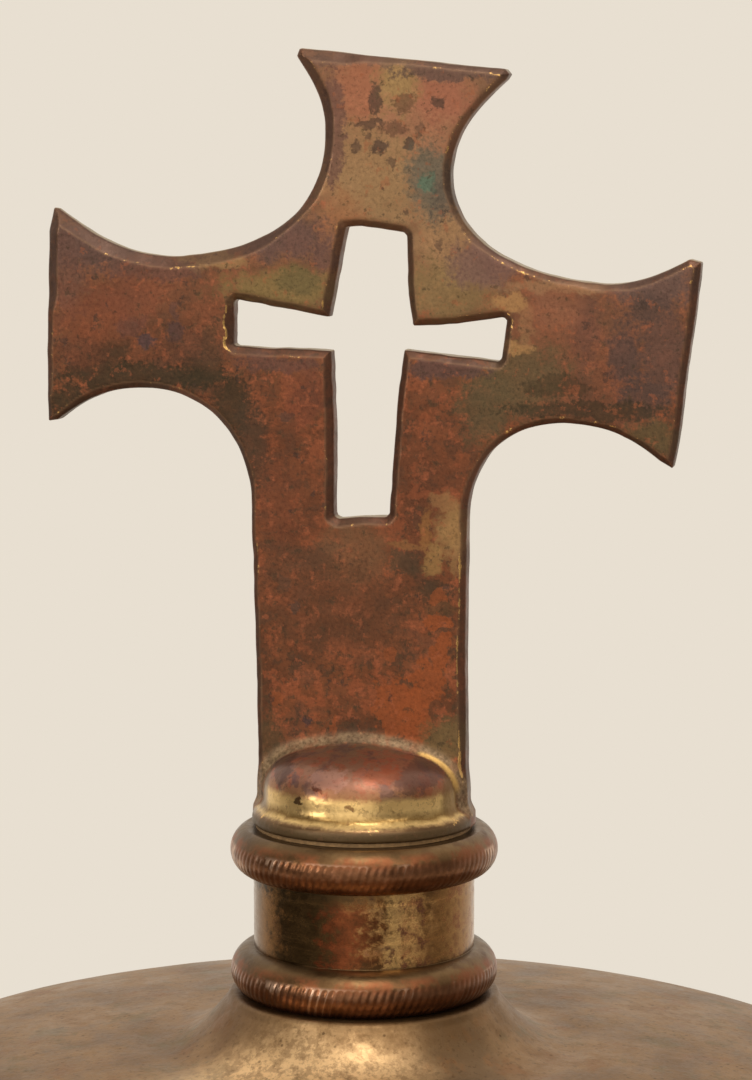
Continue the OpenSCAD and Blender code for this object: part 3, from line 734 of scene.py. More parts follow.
def cross_material():
    M = Mat("cross_patina", offset=(0, 0, RING_UP))
    x, y, z = M.xyz()[0], M.xyz()[1], M.xyz()[2]
    # ragged coordinates for the patches
    w1 = M.vec("SUBTRACT", M.noise(4.5, 3.0, 0.6, colour=True), (0.5, 0.5, 0.5))
    w2 = M.vec("SUBTRACT", M.noise(1.3, 3.0, 0.65, colour=True, offset=(40, 7, 3)), (0.5, 0.5, 0.5))
    W = M.vec("ADD", M.vec("ADD", M.P, M.vec("SCALE", w1, scale=3.6)), M.vec("SCALE", w2, scale=1.8))
    grit = M.noise(0.60, 2.5, 0.62, offset=(3, 15, 8))
    crumb = M.noise(2.4, 3.0, 0.64, offset=(71, 5, 12))
    rag = M.m_("ADD", M.m_("MULTIPLY", M.m_("SUBTRACT", grit, 0.5), 1.3), M.m_("MULTIPLY", M.m_("SUBTRACT", crumb, 0.5), 1.5))
    # ground: red-brown oxide over the whole plate
    big = M.noise(13.0, 4.0, 0.6)
    mid = M.noise(4.2, 4.0, 0.66, offset=(9, 3, 21))
    c = M.ramp(big, [(0.30, lin(80, 54, 38)), (0.45, lin(102, 62, 40)), (0.58, lin(120, 72, 46)), (0.74, lin(104, 70, 56))])
    c = M.mix(M.step(M.m_("ADD", mid, M.m_("MULTIPLY", rag, 0.05)), 0.52, 0.58, 0.0, 0.6), c, lin(148, 82, 52))
    c = M.mix(M.step(M.m_("ADD", mid, M.m_("MULTIPLY", rag, 0.05)), 0.46, 0.39, 0.0, 0.65), c, lin(78, 58, 44))
    fl = M.noise(1.7, 3.0, 0.66, offset=(77, 5, 2))
    c = M.mix(M.step(fl, 0.56, 0.62, 0.0, 0.50), c, lin(148, 84, 56))
    fo = M.noise(1.3, 3.0, 0.68, offset=(17, 45, 22))
    c = M.mix(M.step(fo, 0.55, 0.62, 0.0, 0.50), c, lin(78, 62, 44))
    # paler towards the top
    c = M.mix(M.step(z, 66.0, 112.0, 0.0, 0.45), c, lin(158, 120, 92))
    for px, pz, rx, rz, col, k in PATCHES:
        d = M.vec("LENGTH", M.vec("MULTIPLY", M.vec("SUBTRACT", W, (px, 0, pz)), (1.0 / rx, 0.0, 1.0 / rz)))
        soft = 0.05 if col == ORANGE else (0.34 if min(rx, rz) > 1.8 else 0.20)
        edge = M.m_("MULTIPLY", M.m_("SUBTRACT", crumb, 0.5), 1.8) if col == ORANGE else rag
        c = M.mix(M.step(M.m_("ADD", d, edge), 1.0 + soft * 1.5, 1.0 - soft * 1.2, 0.0, k), c, col)
    # flakes and specks over everything
    c = M.mix(M.step(fl, 0.61, 0.67, 0.0, 0.40), c, lin(158, 92, 62))
    fd = M.noise(2.8, 4.0, 0.68, offset=(5, 51, 31))
    c = M.mix(M.step(fd, 0.64, 0.70, 0.0, 0.62), c, lin(66, 52, 46))
    c = M.mix(M.step(fo, 0.61, 0.68, 0.0, 0.5), c, lin(64, 52, 38))
    # grain
    c = M.mix(M.step(grit, 0.50, 0.34, 0.0, 0.50), c, M.mix(1.0, c, (0.55, 0.52, 0.52), "MULTIPLY"))
    c = M.mix(M.step(grit, 0.52, 0.68, 0.0, 0.42), c, M.mix(1.0, c, (1.45, 1.42, 1.40), "MULTIPLY"))
    # the domed shoulder: purple-brown above; below it a painted gold reflection, a painted highlight along the rim's
    # crest and painted shade on the rim's underside; dusty along its top
    dome = M.attr("dome")
    zz = M.m_("ADD", z, M.m_("ADD", M.m_("MULTIPLY", M.m_("SUBTRACT", mid, 0.5), 1.6), M.m_("MULTIPLY", rag, 0.35)))
    # painted shade below z 6.1, a painted highlight line at the rim's crest, a painted gold reflection from about z 8.6
    # to 10
    dc = M.ramp(M.m_("DIVIDE", M.m_("SUBTRACT", zz, 4.0), 14.0), [(0.0, lin(84, 66, 42)), (0.15, lin(92, 72, 44)), (0.19, lin(216, 184, 124)), (0.24, lin(142, 112, 66)), (0.33, lin(234, 200, 138)), (0.43, lin(234, 198, 134)), (0.50, lin(164, 120, 86)),
                                        (0.62, lin(146, 102, 84)), (0.86, lin(136, 102, 82)), (1.0, lin(146, 120, 92))])
    up_half = M.step(zz, 10.0, 11.2)
    dc = M.mix(M.m_("MULTIPLY", up_half, M.step(crumb, 0.50, 0.58, 0.0, 0.55)), dc, lin(158, 88, 66))
    dc = M.mix(M.m_("MULTIPLY", up_half, M.step(mid, 0.50, 0.40, 0.0, 0.7)), dc, lin(104, 80, 78))
    dc = M.mix(M.step(fo, 0.58, 0.64, 0.0, 0.35), dc, lin(112, 80, 56))
    for px, pz, rx, rz, col, k in ((-7.6, 10.2, 0.8, 0.8, lin(70, 42, 34), 0.85), (-4.4, 11.7, 0.6, 0.6, lin(84, 44, 34), 0.8), (-8.4, 13.0, 0.8, 0.7, lin(96, 72, 72), 0.6),
                               (10.8, 13.6, 3.6, 2.2, lin(100, 72, 66), 0.6), (-12.0, 14.0, 2.6, 2.4, lin(88, 62, 54), 0.7), (5.6, 14.2, 3.0, 1.2, lin(156, 84, 56), 0.6),
                               (-2.5, 13.2, 3.4, 1.6, lin(176, 132, 118), 0.5), (1.0, 9.0, 0.6, 0.5, lin(110, 70, 40), 0.7)):
        d = M.vec("LENGTH", M.vec("MULTIPLY", M.vec("SUBTRACT", W, (px, 0, pz)), (1.0 / rx, 0.0, 1.0 / rz)))
        dc = M.mix(M.step(M.m_("ADD", d, M.m_("MULTIPLY", rag, 0.6)), 1.12, 0.8, 0.0, k), dc, col)
    dc = M.mix(M.step(grit, 0.44, 0.32, 0.0, 0.4), dc, M.mix(1.0, dc, (0.55, 0.52, 0.5), "MULTIPLY"))
    # painted shade on the flanks of the dome beside the plate
    flank = M.step(M.m_("ADD", M.m_("ABSOLUTE", x), M.m_("MULTIPLY", rag, 0.5)), 13.5, 14.5)
    dc = M.mix(M.m_("MULTIPLY", M.m_("MULTIPLY", flank, M.step(zz, 6.8, 7.8)), 0.8), dc, lin(112, 86, 54))
    c = M.mix(dome, c, dc)
    cav = M.attr("cavity")
    c = M.mix(M.m_("MULTIPLY", cav, M.step(crumb, 0.36, 0.56, 0.55, 0.9)), c, M.ramp(grit, [(0.34, lin(96, 76, 52)), (0.5, lin(130, 106, 78)), (0.66, lin(152, 128, 98))]))
    # painted highlight: a bright gold streak along the crease at the right of the dome
    gx = M.m_("MULTIPLY", M.m_("MULTIPLY", M.attr("lip"), M.step(M.m_("ADD", x, M.m_("MULTIPLY", rag, 2.0)), 8.5, 11.0)), M.m_("MULTIPLY", M.step(M.m_("ADD", z, M.m_("MULTIPLY", rag, 1.5)), 17.6, 16.4), M.step(z, 9.5, 12.0)))
    c = M.mix(M.m_("MULTIPLY", gx, 0.85), c, lin(226, 184, 112))
    # walls and bevels: dust on what faces up, brown elsewhere
    wall, bev = M.attr("wall"), M.attr("bevel")
    up = M.up()
    side = M.m_("MAXIMUM", wall, bev)
    c = M.mix(M.m_("MULTIPLY", side, 0.66), c, lin(82, 60, 50))
    c = M.mix(M.m_("MULTIPLY", M.m_("MULTIPLY", wall, M.step(up, 0.35, 0.9)), M.step(rag, -0.5, 0.3, 0.55, 0.9)), c, lin(158, 142, 116))
    # worn edges with painted highlights: a lighter line along every face edge and round the dome's rim, bright gold
    # glints at the listed places
    edge_wear_and_glint = M.attr("edge_wear_and_glint")
    rub_and_glint = 0.12
    for px, pz, rx, rz, k in RUBBED_EDGES_AND_GLINTS:
        d = M.vec("LENGTH", M.vec("MULTIPLY", M.vec("SUBTRACT", W, (px, 0, pz)), (1.0 / rx, 0.0, 1.0 / rz)))
        rub_and_glint = M.m_("MAXIMUM", rub_and_glint, M.step(d, 1.25, 0.75, 0.0, k))
    near = M.m_("MULTIPLY", edge_wear_and_glint, rub_and_glint)
    wl = M.m_("MULTIPLY", M.step(M.m_("ADD", near, M.m_("MULTIPLY", rag, 0.8)), 0.25, 0.45), M.step(edge_wear_and_glint, 0.1, 0.3))
    c = M.mix(M.m_("MULTIPLY", edge_wear_and_glint, 0.45), c, lin(150, 116, 90))
    c = M.mix(M.m_("MULTIPLY", wl, 0.9), c, lin(228, 184, 116))
    rim = M.m_("MULTIPLY", dome, M.step(M.m_("ABSOLUTE", M.m_("SUBTRACT", z, 6.3)), 0.9, 0.3))
    rough = M.fmix(M.step(mid, 0.38, 0.62), 0.50, 0.40)
    rough = M.m_("ADD", rough, M.m_("MULTIPLY", M.m_("SUBTRACT", grit, 0.5), 0.3))
    rough = M.fmix(wl, rough, 0.26)
    rough = M.fmix(M.m_("MULTIPLY", dome, M.step(zz, 12.4, 10.2)), rough, 0.29)
    rough = M.fmix(M.m_("MULTIPLY", dome, M.step(zz, 10.6, 12.0)), rough, 0.36)
    low_rim = M.m_("MULTIPLY", dome, M.step(z, 6.1, 5.7))
    rough = M.fmix(low_rim, rough, 0.45)
    metal = M.fmix(M.m_("MAXIMUM", wl, M.m_("MULTIPLY", dome, M.step(z, 14.0, 10.5))), 0.68, 0.97)
    metal = M.fmix(M.m_("MULTIPLY", wall, M.step(up, 0.35, 0.9)), metal, 0.25)
    metal = M.fmix(cav, metal, 0.45)
    metal = M.fmix(low_rim, metal, 0.5)
    metal = M.fmix(gx, metal, 1.0)
    nrm = M.bump(grit, 0.05, 0.5)
    nrm = M.bump(crumb, 0.16, 0.5, nrm)
    nrm = M.bump(M.noise(6.0, 3.0, 0.5, offset=(4, 4, 4)), 0.5, 0.4, nrm)
    return M.finish(c, rough, nrm, metal)


# ---------------------------------------------------------------- bead rings
RC, RB = 17.4, 3.9


def ring_profile(z, milled_up=True, tube_r=17.6, hole=12.0, flat_up=True, counter=None):
    """Closed section of a bead ring in (r, z). flat_up: the web is above the tube rebate."""
    s = 1.0 if flat_up else -1.0
    top = RB - 0.3
    a0 = math.asin(top / RB)
    arc = [(RC + RB * math.cos(a), s * RB * math.sin(a)) for a in np.linspace(a0, -math.pi / 2 + 0.03, 60)]
    pts = [(r, zz, 0) for r, zz in arc]
    pts[0] = (*arc[0], 0.25)
    pts += [(tube_r, -s * (RB - 0.02), 0.1), (tube_r, 0, 0), (hole, 0, 0.15)]
    if counter:
        pts += [(hole, s * (top - 2), 0.1), (counter, s * (top - 2), 0.0), (counter, s * top, 0.15)]
    else:
        pts += [(hole, s * top, 0.15)]
    loop = rounded([(r, z + zz, k) for r, zz, k in pts], 0.1)
    return loop


def knurl(zc, n=109, depth=0.08, lean=17.0):
    """Slanted milling cut into the lower outer half of a bead."""
    k = math.tan(math.radians(lean))

    def disp(T, R, Z):
        v = np.degrees(np.arctan2(Z - zc, R - RC))
        side = np.hypot(Z - zc, R - RC)
        m = smooth(27, 15, v) * smooth(-86, -70, v) * smooth(3.5, 3.8, side)
        arc = np.radians(v) * RB
        ph = n * (T - k * arc / 21.0)
        irr = 0.85 + 0.3 * np.sin(T * 3.0 + zc) * 0.5
        tooth = 0.5 - 0.5 * np.cos(ph)
        tooth = tooth ** 0.75
        base = 0.03 * np.sin(2 * T + zc) + 0.02 * np.sin(5 * T + 2 * zc)
        return -depth * m * irr * (1 - tooth) - 0.03 + base * smooth(2.5, 3.5, side)
    return disp


def make_ring(name, node, zc, flat_up, tube_r=17.6, counter=None, milled=True):
    loop = dense(ring_profile(zc, True, tube_r, 12.0, flat_up, counter), 0.19)
    ob, v = revolve(name, loop, (872) if milled else 300, knurl(zc, depth=0.062 if zc > 155 else 0.085) if milled else
                    (lambda T, R, Z: -0.02 + 0.02 * np.sin(3 * T + zc)))
    r = np.hypot(v[:, 0], v[:, 1])
    a = np.degrees(np.arctan2(v[:, 2] - zc, r - RC))
    side = np.hypot(v[:, 2] - zc, r - RC)
    dep = np.clip((RB - 0.02 - side) / 0.09, 0, 1)
    low = smooth(28, 14, a) * smooth(-95, -80, a) if milled else np.zeros(len(a))
    add_attr(ob, "milled", low)
    add_attr(ob, "groove", dep * low)
    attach(ob, "stack")
    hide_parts(node)
    return ob


def brass_base(M, tones, big=12.0, streak_dir=None, spots=0.5):
    """Blotched aged brass: tones is a list of ramp stops."""
    a = M.noise(big, 5.0, 0.62)
    b = M.noise(big * 0.28, 5.0, 0.66, offset=(13, 4, 8))
    f = M.m_("ADD", M.m_("MULTIPLY", a, 0.65), M.m_("MULTIPLY", b, 0.35))
    c = M.ramp(f, tones)
    fine = M.noise(0.8, 4.0, 0.7, offset=(2, 9, 14))
    c = M.mix(M.step(fine, 0.5, 0.28, 0.0, 0.35), c, M.mix(1.0, c, (0.55, 0.52, 0.5), "MULTIPLY"))
    d = M.noise(big * 0.16, 6.0, 0.72, offset=(60, 1, 33))
    c = M.mix(M.step(d, 0.60, 0.70, 0.0, spots), c, lin(58, 42, 32))
    return c, a, b, fine, d


def ring_material(name, zc):
    M = Mat(name, offset=(0, 0, zc))
    x, y, z = M.xyz()
    c, a, b, fine, d = brass_base(M, [(0.34, lin(82, 62, 40)), (0.46, lin(100, 78, 52)), (0.56, lin(118, 94, 64)), (0.68, lin(94, 68, 48))])
    # milled half: redder
    low = M.attr("milled")
    gro = M.attr("groove")
    cl = M.ramp(b, [(0.35, lin(106, 70, 48)), (0.5, lin(128, 86, 60)), (0.62, lin(148, 102, 76))])
    c = M.mix(M.m_("MULTIPLY", low, 0.9), c, cl)
    # a red band where the fingers do not reach, just above the milling
    band = M.m_("MULTIPLY", M.step(z, 0.4, 1.6), M.step(z, 3.2, 2.2))
    c = M.mix(M.m_("MULTIPLY", band, M.step(b, 0.4, 0.6, 0.1, 0.7)), c, lin(140, 82, 54))
    c = M.mix(M.m_("MULTIPLY", gro, 0.30), c, lin(70, 45, 32))
    # worn crests of the milling, with painted glints that are brightest towards the top of the milled band
    cr = M.m_("MULTIPLY", M.m_("MULTIPLY", low, M.step(gro, 0.35, 0.10)), M.step(M.noise(5.0, 4.0, 0.6, offset=(3, 3, 70)), 0.47, 0.60))
    cr = M.m_("MULTIPLY", cr, M.step(z, -1.6, 0.8, 0.35, 1.0))
    c = M.mix(M.m_("MULTIPLY", cr, 0.7), c, lin(222, 188, 164))
    # darker against the seat and the tube
    r = M.vec("LENGTH", M.vec("MULTIPLY", M.P, (1, 1, 0)))
    joint_darkening = M.m_("MULTIPLY", M.step(r, 18.6, 17.6), M.step(M.m_("ABSOLUTE", z), 2.2, 3.4))
    c = M.mix(M.m_("MULTIPLY", joint_darkening, 0.6), c, lin(92, 72, 48))
    rough = M.m_("ADD", M.fmix(M.step(b, 0.4, 0.6), 0.34, 0.42), M.m_("MULTIPLY", M.m_("SUBTRACT", fine, 0.5), 0.25))
    rough = M.fmix(low, rough, 0.31)
    nrm = M.bump(fine, 0.04, 0.4)
    nrm = M.bump(M.noise(1.1, 3.0, 0.65, offset=(6, 3, 1)), 0.07, 0.5, nrm)
    nrm = M.bump(b, 0.15, 0.35, nrm)
    return M.finish(c, rough, nrm, 0.94)


# ---------------------------------------------------------------- tubes and shells
def loop_of(pts, step=0.6, r=0.2):
    return dense(rounded(pts, r), step)


def make_tube(name, node, r0, r1, z0, z1, body, n=288, lines=(), soft=0.02, step=0.5):
    pts = [(r1, z0, 0.12), (r1, z1, 0.12), (r0, z1, 0.12), (r0, z0, 0.12)]

    def disp(T, R, Z):
        d = np.zeros(len(T))
        out = R > 0.5 * (r0 + r1)
        for zl, w, dep in lines:
            d -= dep * np.exp(-((Z - zl) / w) ** 2) * out
        d -= soft * (1 + np.sin(2 * T + 0.3 * Z)) * out * 0.5
        return d
    ob, v = revolve(name, loop_of(pts, step), n, disp)
    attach(ob, body)
    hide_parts(node)
    return ob


def tube_material():
    M = Mat("collar_patina", offset=(0, 0, RING_LO))
    x, y, z = M.xyz()
    c, a, b, fine, d = brass_base(M, [(0.32, lin(92, 68, 42)), (0.45, lin(126, 92, 56)), (0.56, lin(148, 108, 66)), (0.70, lin(112, 78, 52))], big=9.0)
    ang = M.m_("SUBTRACT", M.m_("ARCTAN2", x, M.m_("MULTIPLY", y, -1.0)), 0.20)
    # painted by angle from the side that faces the camera: a painted dark reflection on the left, red low in the
    # middle, a painted gold reflection and streak right of the centre with purple stains, lighter brown-gold to the
    # right, painted shadow under the ring
    n1 = M.noise(2.6, 4.0, 0.68, offset=(8, 2, 5))
    n2 = M.noise(0.9, 3.0, 0.66, offset=(28, 12, 5))
    wn = M.m_("ADD", M.m_("MULTIPLY", M.m_("SUBTRACT", n1, 0.5), 0.9), M.m_("MULTIPLY", M.m_("SUBTRACT", n2, 0.5), 0.5))
    aw = M.m_("ADD", ang, wn)
    zw = M.m_("ADD", z, M.m_("MULTIPLY", wn, 7.0))
    # painted dark reflection on the left
    dk = M.m_("MULTIPLY", M.step(aw, -1.0, -0.72), M.step(aw, 0.02, -0.30))
    c = M.mix(M.m_("MULTIPLY", dk, 0.9), c, lin(74, 58, 36))
    red = M.m_("MULTIPLY", M.step(M.m_("ABSOLUTE", M.m_("SUBTRACT", aw, -0.16)), 0.30, 0.10), M.step(M.m_("ABSOLUTE", M.m_("SUBTRACT", zw, 8.6)), 6.6, 4.0))
    c = M.mix(M.m_("MULTIPLY", red, 0.85), c, M.ramp(n1, [(0.4, lin(92, 52, 32)), (0.6, lin(126, 66, 40))]))
    # painted gold reflection right of the centre
    gold = M.m_("MULTIPLY", M.step(M.m_("ABSOLUTE", M.m_("SUBTRACT", aw, 0.34)), 0.34, 0.06), M.step(n2, 0.36, 0.52, 0.35, 1.0))
    c = M.mix(M.m_("MULTIPLY", gold, 0.85), c, M.ramp(b, [(0.36, lin(184, 136, 94)), (0.5, lin(224, 180, 120)), (0.62, lin(190, 138, 96))]))
    # painted highlight: a vertical gold streak
    streak = M.m_("MULTIPLY", M.step(M.m_("ABSOLUTE", M.m_("SUBTRACT", M.m_("ADD", ang, M.m_("MULTIPLY", wn, 0.22)), 0.27)), 0.12, 0.03), M.step(n2, 0.34, 0.48, 0.5, 1.0))
    c = M.mix(M.m_("MULTIPLY", streak, 0.7), c, lin(236, 196, 132))
    # painted reflection: a paler strip at the far left edge
    c = M.mix(M.step(ang, -1.0, -1.2, 0.0, 0.6), c, lin(104, 78, 50))
    stain = M.m_("MULTIPLY", M.step(M.m_("ABSOLUTE", M.m_("SUBTRACT", aw, 0.42)), 0.36, 0.16), M.step(n1, 0.52, 0.60))
    c = M.mix(M.m_("MULTIPLY", stain, 0.75), c, lin(118, 74, 62))
    rt = M.step(ang, 0.65, 0.95)
    c = M.mix(M.m_("MULTIPLY", rt, 0.6), c, M.ramp(b, [(0.38, lin(140, 96, 62)), (0.5, lin(176, 136, 86)), (0.62, lin(146, 94, 64))]))
    # painted shadow under the upper ring, strongest on the left and in the middle; darker just above the lower ring
    o1 = M.step(zw, 13.6, 16.2)
    o2 = M.step(zw, 5.0, 3.2)
    c = M.mix(M.m_("MULTIPLY", M.m_("MULTIPLY", o1, M.step(ang, 0.35, -0.1, 0.15, 1.0)), 0.85), c, lin(66, 52, 34))
    c = M.mix(M.m_("MULTIPLY", o2, 0.6), c, lin(72, 56, 38))
    c = M.mix(M.step(n2, 0.57, 0.68, 0.0, 0.42), c, M.mix(1.0, c, (0.5, 0.46, 0.44), "MULTIPLY"))
    turn = M.noise(0.5, 3.0, 0.6, stretch=(0.05, 0.05, 1.0))
    rough = M.m_("ADD", M.fmix(M.step(b, 0.4, 0.62), 0.18, 0.27), M.m_("MULTIPLY", M.m_("SUBTRACT", fine, 0.5), 0.2))
    nrm = M.bump(turn, 0.03, 0.4)
    nrm = M.bump(b, 0.12, 0.3, nrm)
    return M.finish(c, rough, nrm, 0.96)


def arch(r, h, z, a0, a1, n):
    return [(r * math.cos(math.radians(a0 + (a1 - a0) * i / n)), z + h * math.sin(math.radians(a0 + (a1 - a0) * i / n))) for i in range(n + 1)]


def dents(seed, amp):
    def disp(T, R, Z):
        P = np.stack([R * np.cos(T), R * np.sin(T), Z], 1)
        d = amp * vnoise(P, 26.0, seed) + 0.45 * amp * vnoise(P, 11.0, seed + 1)
        k = smooth(22, 30, R) * smooth(KNOP_R - 0.6, KNOP_R - 5, R)
        return d * k
    return disp


def make_upper_shell():
    t = 1.2
    join = arch(KNOP_R, RISE, DOME_Z, 66, 66, 1)[0]
    join_in = arch(KNOP_R - t, RISE - t, DOME_Z, 66, 66, 1)[0]
    out = [(21.2, NECK), (21.7, NECK - 0.6)] + [tuple(q) for q in bez((21.9, NECK - 1.2), (24.6, DOME_TOP + 3.4), (26.6, DOME_TOP - 1.6), join, 26)] \
        + arch(KNOP_R, RISE, DOME_Z, 66, 0, 60) + [(KNOP_R, GIRDLE)]
    inn = [(KNOP_R - t, GIRDLE)] + arch(KNOP_R - t, RISE - t, DOME_Z, 0, 66, 40) \
        + [tuple(q) for q in reversed(bez((20.6, NECK - 2.2), (23.4, DOME_TOP + 2.2), (25.6, DOME_TOP - 2.9), join_in, 12))] + [(20.3, NECK - t)]
    pts = [(12, NECK)] + out + inn + [(12, NECK - t)]
    ob, v = revolve("knop_dome", dense(np.array(pts, float), 1.1), 360, dents(41, 0.16))
    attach(ob, "stack")
    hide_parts("knop_upper_shell")
    return ob


def make_lower_shell():
    t = 1.2
    zc = GIRDLE - 1.6
    out = [(20.8, LOW_TOP), (21.4, LOW_TOP + 0.7)] + [tuple(q) for q in bez((22.4, LOW_TOP + 1.5), (28, LOW_TOP + 2.8), (34, BOWL_Z + 0.5), (44, BOWL_Z + BOWL * 0.1), 18)] \
        + arch(KNOP_R, BOWL, zc, -62, 0, 60) + [(KNOP_R, GIRDLE)]
    inn = [(KNOP_R - t, GIRDLE)] + arch(KNOP_R - t, BOWL - t, zc, 0, -62, 40) \
        + [tuple(q) for q in bez((43.4, BOWL_Z + BOWL * 0.1 + t), (33.4, BOWL_Z + 1.8), (27.4, LOW_TOP + 4), (21.8, LOW_TOP + 2.4), 10)] + [(20.2, LOW_TOP + t)]
    pts = [(12, LOW_TOP)] + out + inn + [(12, LOW_TOP + t)]
    ob, v = revolve("knop_bowl", dense(np.array(pts, float), 1.1), 360, dents(47, 0.14))
    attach(ob, "stack")
    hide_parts("knop_lower_shell")
    return ob


def make_girdle():
    rg = 3.4
    a = np.linspace(-math.pi / 2, math.pi / 2, 60)
    pts = [(KNOP_R + rg * math.cos(t), GIRDLE + rg * math.sin(t)) for t in a]
    pts[0] = (KNOP_R, GIRDLE - rg)
    pts[-1] = (KNOP_R, GIRDLE + rg)

    def disp(T, R, Z):
        # two turned quirks that set off a middle bead
        v = np.degrees(np.arctan2(Z - GIRDLE, R - KNOP_R))
        side = np.hypot(Z - GIRDLE, R - KNOP_R)
        q = np.exp(-((np.abs(v) - 42) / 6.0) ** 2) * smooth(2.8, 3.3, side)
        return -0.30 * q - 0.02
    ob, v = revolve("knop_band", dense(np.array(pts, float), 0.22), 480, disp)
    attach(ob, "stack")
    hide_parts("knop_girdle")
    return ob


def knop_material():
    M = Mat("knop_tarnish", offset=(0, 0, DOME_TOP))
    x, y, z = M.xyz()
    r = M.vec("LENGTH", M.vec("MULTIPLY", M.P, (1, 1, 0)))
    c, a, b, fine, d = brass_base(M, [(0.32, lin(102, 78, 54)), (0.44, lin(124, 96, 68)), (0.55, lin(148, 118, 86)), (0.70, lin(128, 96, 66))], big=22.0, spots=0.35)
    # concentric spinning tracks, faint
    spin = M.noise(1.6, 3.0, 0.6, vec=M.vec("MULTIPLY", M.vec("ADD", M.vec("SCALE", M.vec("MULTIPLY", M.P, (0, 0, 0.6)), scale=1.0), M.combine(r)), (1, 1, 1)))
    c = M.mix(M.step(spin, 0.36, 0.64, 0.0, 0.16), c, lin(112, 84, 56))
    # green-brown stains and brown runs from the neck
    st = M.noise(9.0, 5.0, 0.68, offset=(31, 17, 4))
    c = M.mix(M.step(st, 0.54, 0.66, 0.0, 0.55), c, lin(110, 96, 70))
    sd = M.vec("LENGTH", M.vec("MULTIPLY", M.vec("SUBTRACT", M.vec("ADD", M.P, M.vec("SCALE", M.vec("SUBTRACT", M.noise(4.0, 4.0, 0.66, colour=True), (0.5, 0.5, 0.5)), scale=8.0)), (19, -18, 0)), (1 / 8.0, 1 / 9.0, 0.0)))
    c = M.mix(M.step(sd, 1.2, 0.5, 0.0, 0.6), c, lin(96, 78, 58))
    c = M.mix(M.step(st, 0.44, 0.34, 0.0, 0.5), c, lin(134, 94, 60))
    # painted highlight in front of the neck, mottled
    fr = M.vec("LENGTH", M.vec("MULTIPLY", M.vec("SUBTRACT", M.vec("ADD", M.P, M.vec("SCALE", M.vec("SUBTRACT", M.noise(3.0, 5.0, 0.7, colour=True), (0.5, 0.5, 0.5)), scale=7.0)), (-4, -28, 0)), (1 / 20.0, 1 / 9.0, 0.0)))
    front_highlight_mottle = M.m_("MULTIPLY", M.step(fr, 1.35, 0.45), M.step(M.m_("ADD", M.noise(1.8, 4.0, 0.68, offset=(7, 71, 7)), M.m_("MULTIPLY", M.m_("SUBTRACT", fine, 0.5), 0.5)), 0.40, 0.56))
    c = M.mix(M.m_("MULTIPLY", M.m_("ADD", M.m_("MULTIPLY", front_highlight_mottle, 0.5), M.step(fr, 1.5, 0.6, 0.0, 0.5)), 0.85), c, lin(232, 196, 148))
    c = M.mix(M.m_("MULTIPLY", M.step(fr, 2.2, 0.8), M.step(M.noise(2.6, 4.0, 0.7, offset=(17, 3, 27)), 0.53, 0.64, 0.0, 0.45)), c, lin(124, 98, 70))
    c = M.mix(M.step(M.noise(0.9, 3.0, 0.65, offset=(1, 33, 7)), 0.56, 0.66, 0.0, 0.45), c, M.mix(1.0, c, (0.5, 0.48, 0.46), "MULTIPLY"))
    # painted shade in the corner under the ring; the neck round it patchily browner
    c = M.mix(M.step(r, 22.0, 20.9, 0.0, 0.6), c, lin(84, 66, 46))
    c = M.mix(M.m_("MULTIPLY", M.step(r, 27.0, 22.0), M.step(b, 0.35, 0.6, 0.2, 0.6)), c, lin(104, 76, 46))
    # dark specks, in patches
    sp = M.m_("MULTIPLY", M.step(M.voronoi(1.6).outputs["Distance"], 0.22, 0.10), M.step(b, 0.42, 0.62))
    c = M.mix(M.m_("MULTIPLY", sp, 0.75), c, lin(84, 62, 42))
    rough = M.m_("ADD", M.fmix(M.step(b, 0.38, 0.62), 0.42, 0.52), M.m_("MULTIPLY", M.m_("SUBTRACT", fine, 0.5), 0.3))
    nrm = M.bump(spin, 0.04, 0.35)
    nrm = M.bump(M.noise(1.5, 3.0, 0.65, offset=(12, 2, 9)), 0.10, 0.6, nrm)
    nrm = M.bump(M.noise(5.0, 5.0, 0.6, offset=(2, 2, 2)), 0.30, 0.35, nrm)
    nrm = M.bump(fine, 0.04, 0.35, nrm)
    return M.finish(c, rough, nrm, 0.95)


def _combine(self, r):
    k = self.n("ShaderNodeCombineXYZ")
    self.put(k.inputs[0], r)
    return k.outputs[0]


Mat.combine = _combine


def plain_brass(name, zc, tones, rough=0.36, big=11.0, lines=0.0, spots=0.5):
    M = Mat(name, offset=(0, 0, zc))
    c, a, b, fine, d = brass_base(M, tones, big=big, spots=spots)
    turn = M.noise(0.45, 3.0, 0.6, stretch=(0.04, 0.04, 1.0))
    c = M.mix(M.step(turn, 0.4, 0.62, 0.0, 0.14), c, lin(96, 70, 44))
    sp = M.m_("MULTIPLY", M.step(M.voronoi(1.3).outputs["Distance"], 0.22, 0.10), M.step(b, 0.42, 0.6))
    c = M.mix(M.m_("MULTIPLY", sp, 0.6), c, lin(60, 44, 30))
    r = M.m_("ADD", M.fmix(M.step(b, 0.4, 0.62), rough - 0.03, rough + 0.07), M.m_("MULTIPLY", M.m_("SUBTRACT", fine, 0.5), 0.2))
    nrm = M.bump(turn, 0.03, 0.35)
    nrm = M.bump(b, 0.15, 0.3, nrm)
    return M.finish(c, r, nrm, 0.96)


def steel_material():
    M = Mat("oiled_steel")
    a = M.noise(6.0, 4.0, 0.6)
    b = M.noise(1.1, 5.0, 0.7, offset=(3, 8, 1))
    c = M.ramp(a, [(0.35, lin(96, 92, 88)), (0.5, lin(128, 124, 118)), (0.66, lin(110, 98, 86))])
    c = M.mix(M.step(b, 0.56, 0.68, 0.0, 0.6), c, lin(92, 62, 42))
    nrm = M.bump(b, 0.05, 0.5)
    return M.finish(c, M.fmix(M.step(b, 0.4, 0.65), 0.32, 0.52), nrm, 0.95)


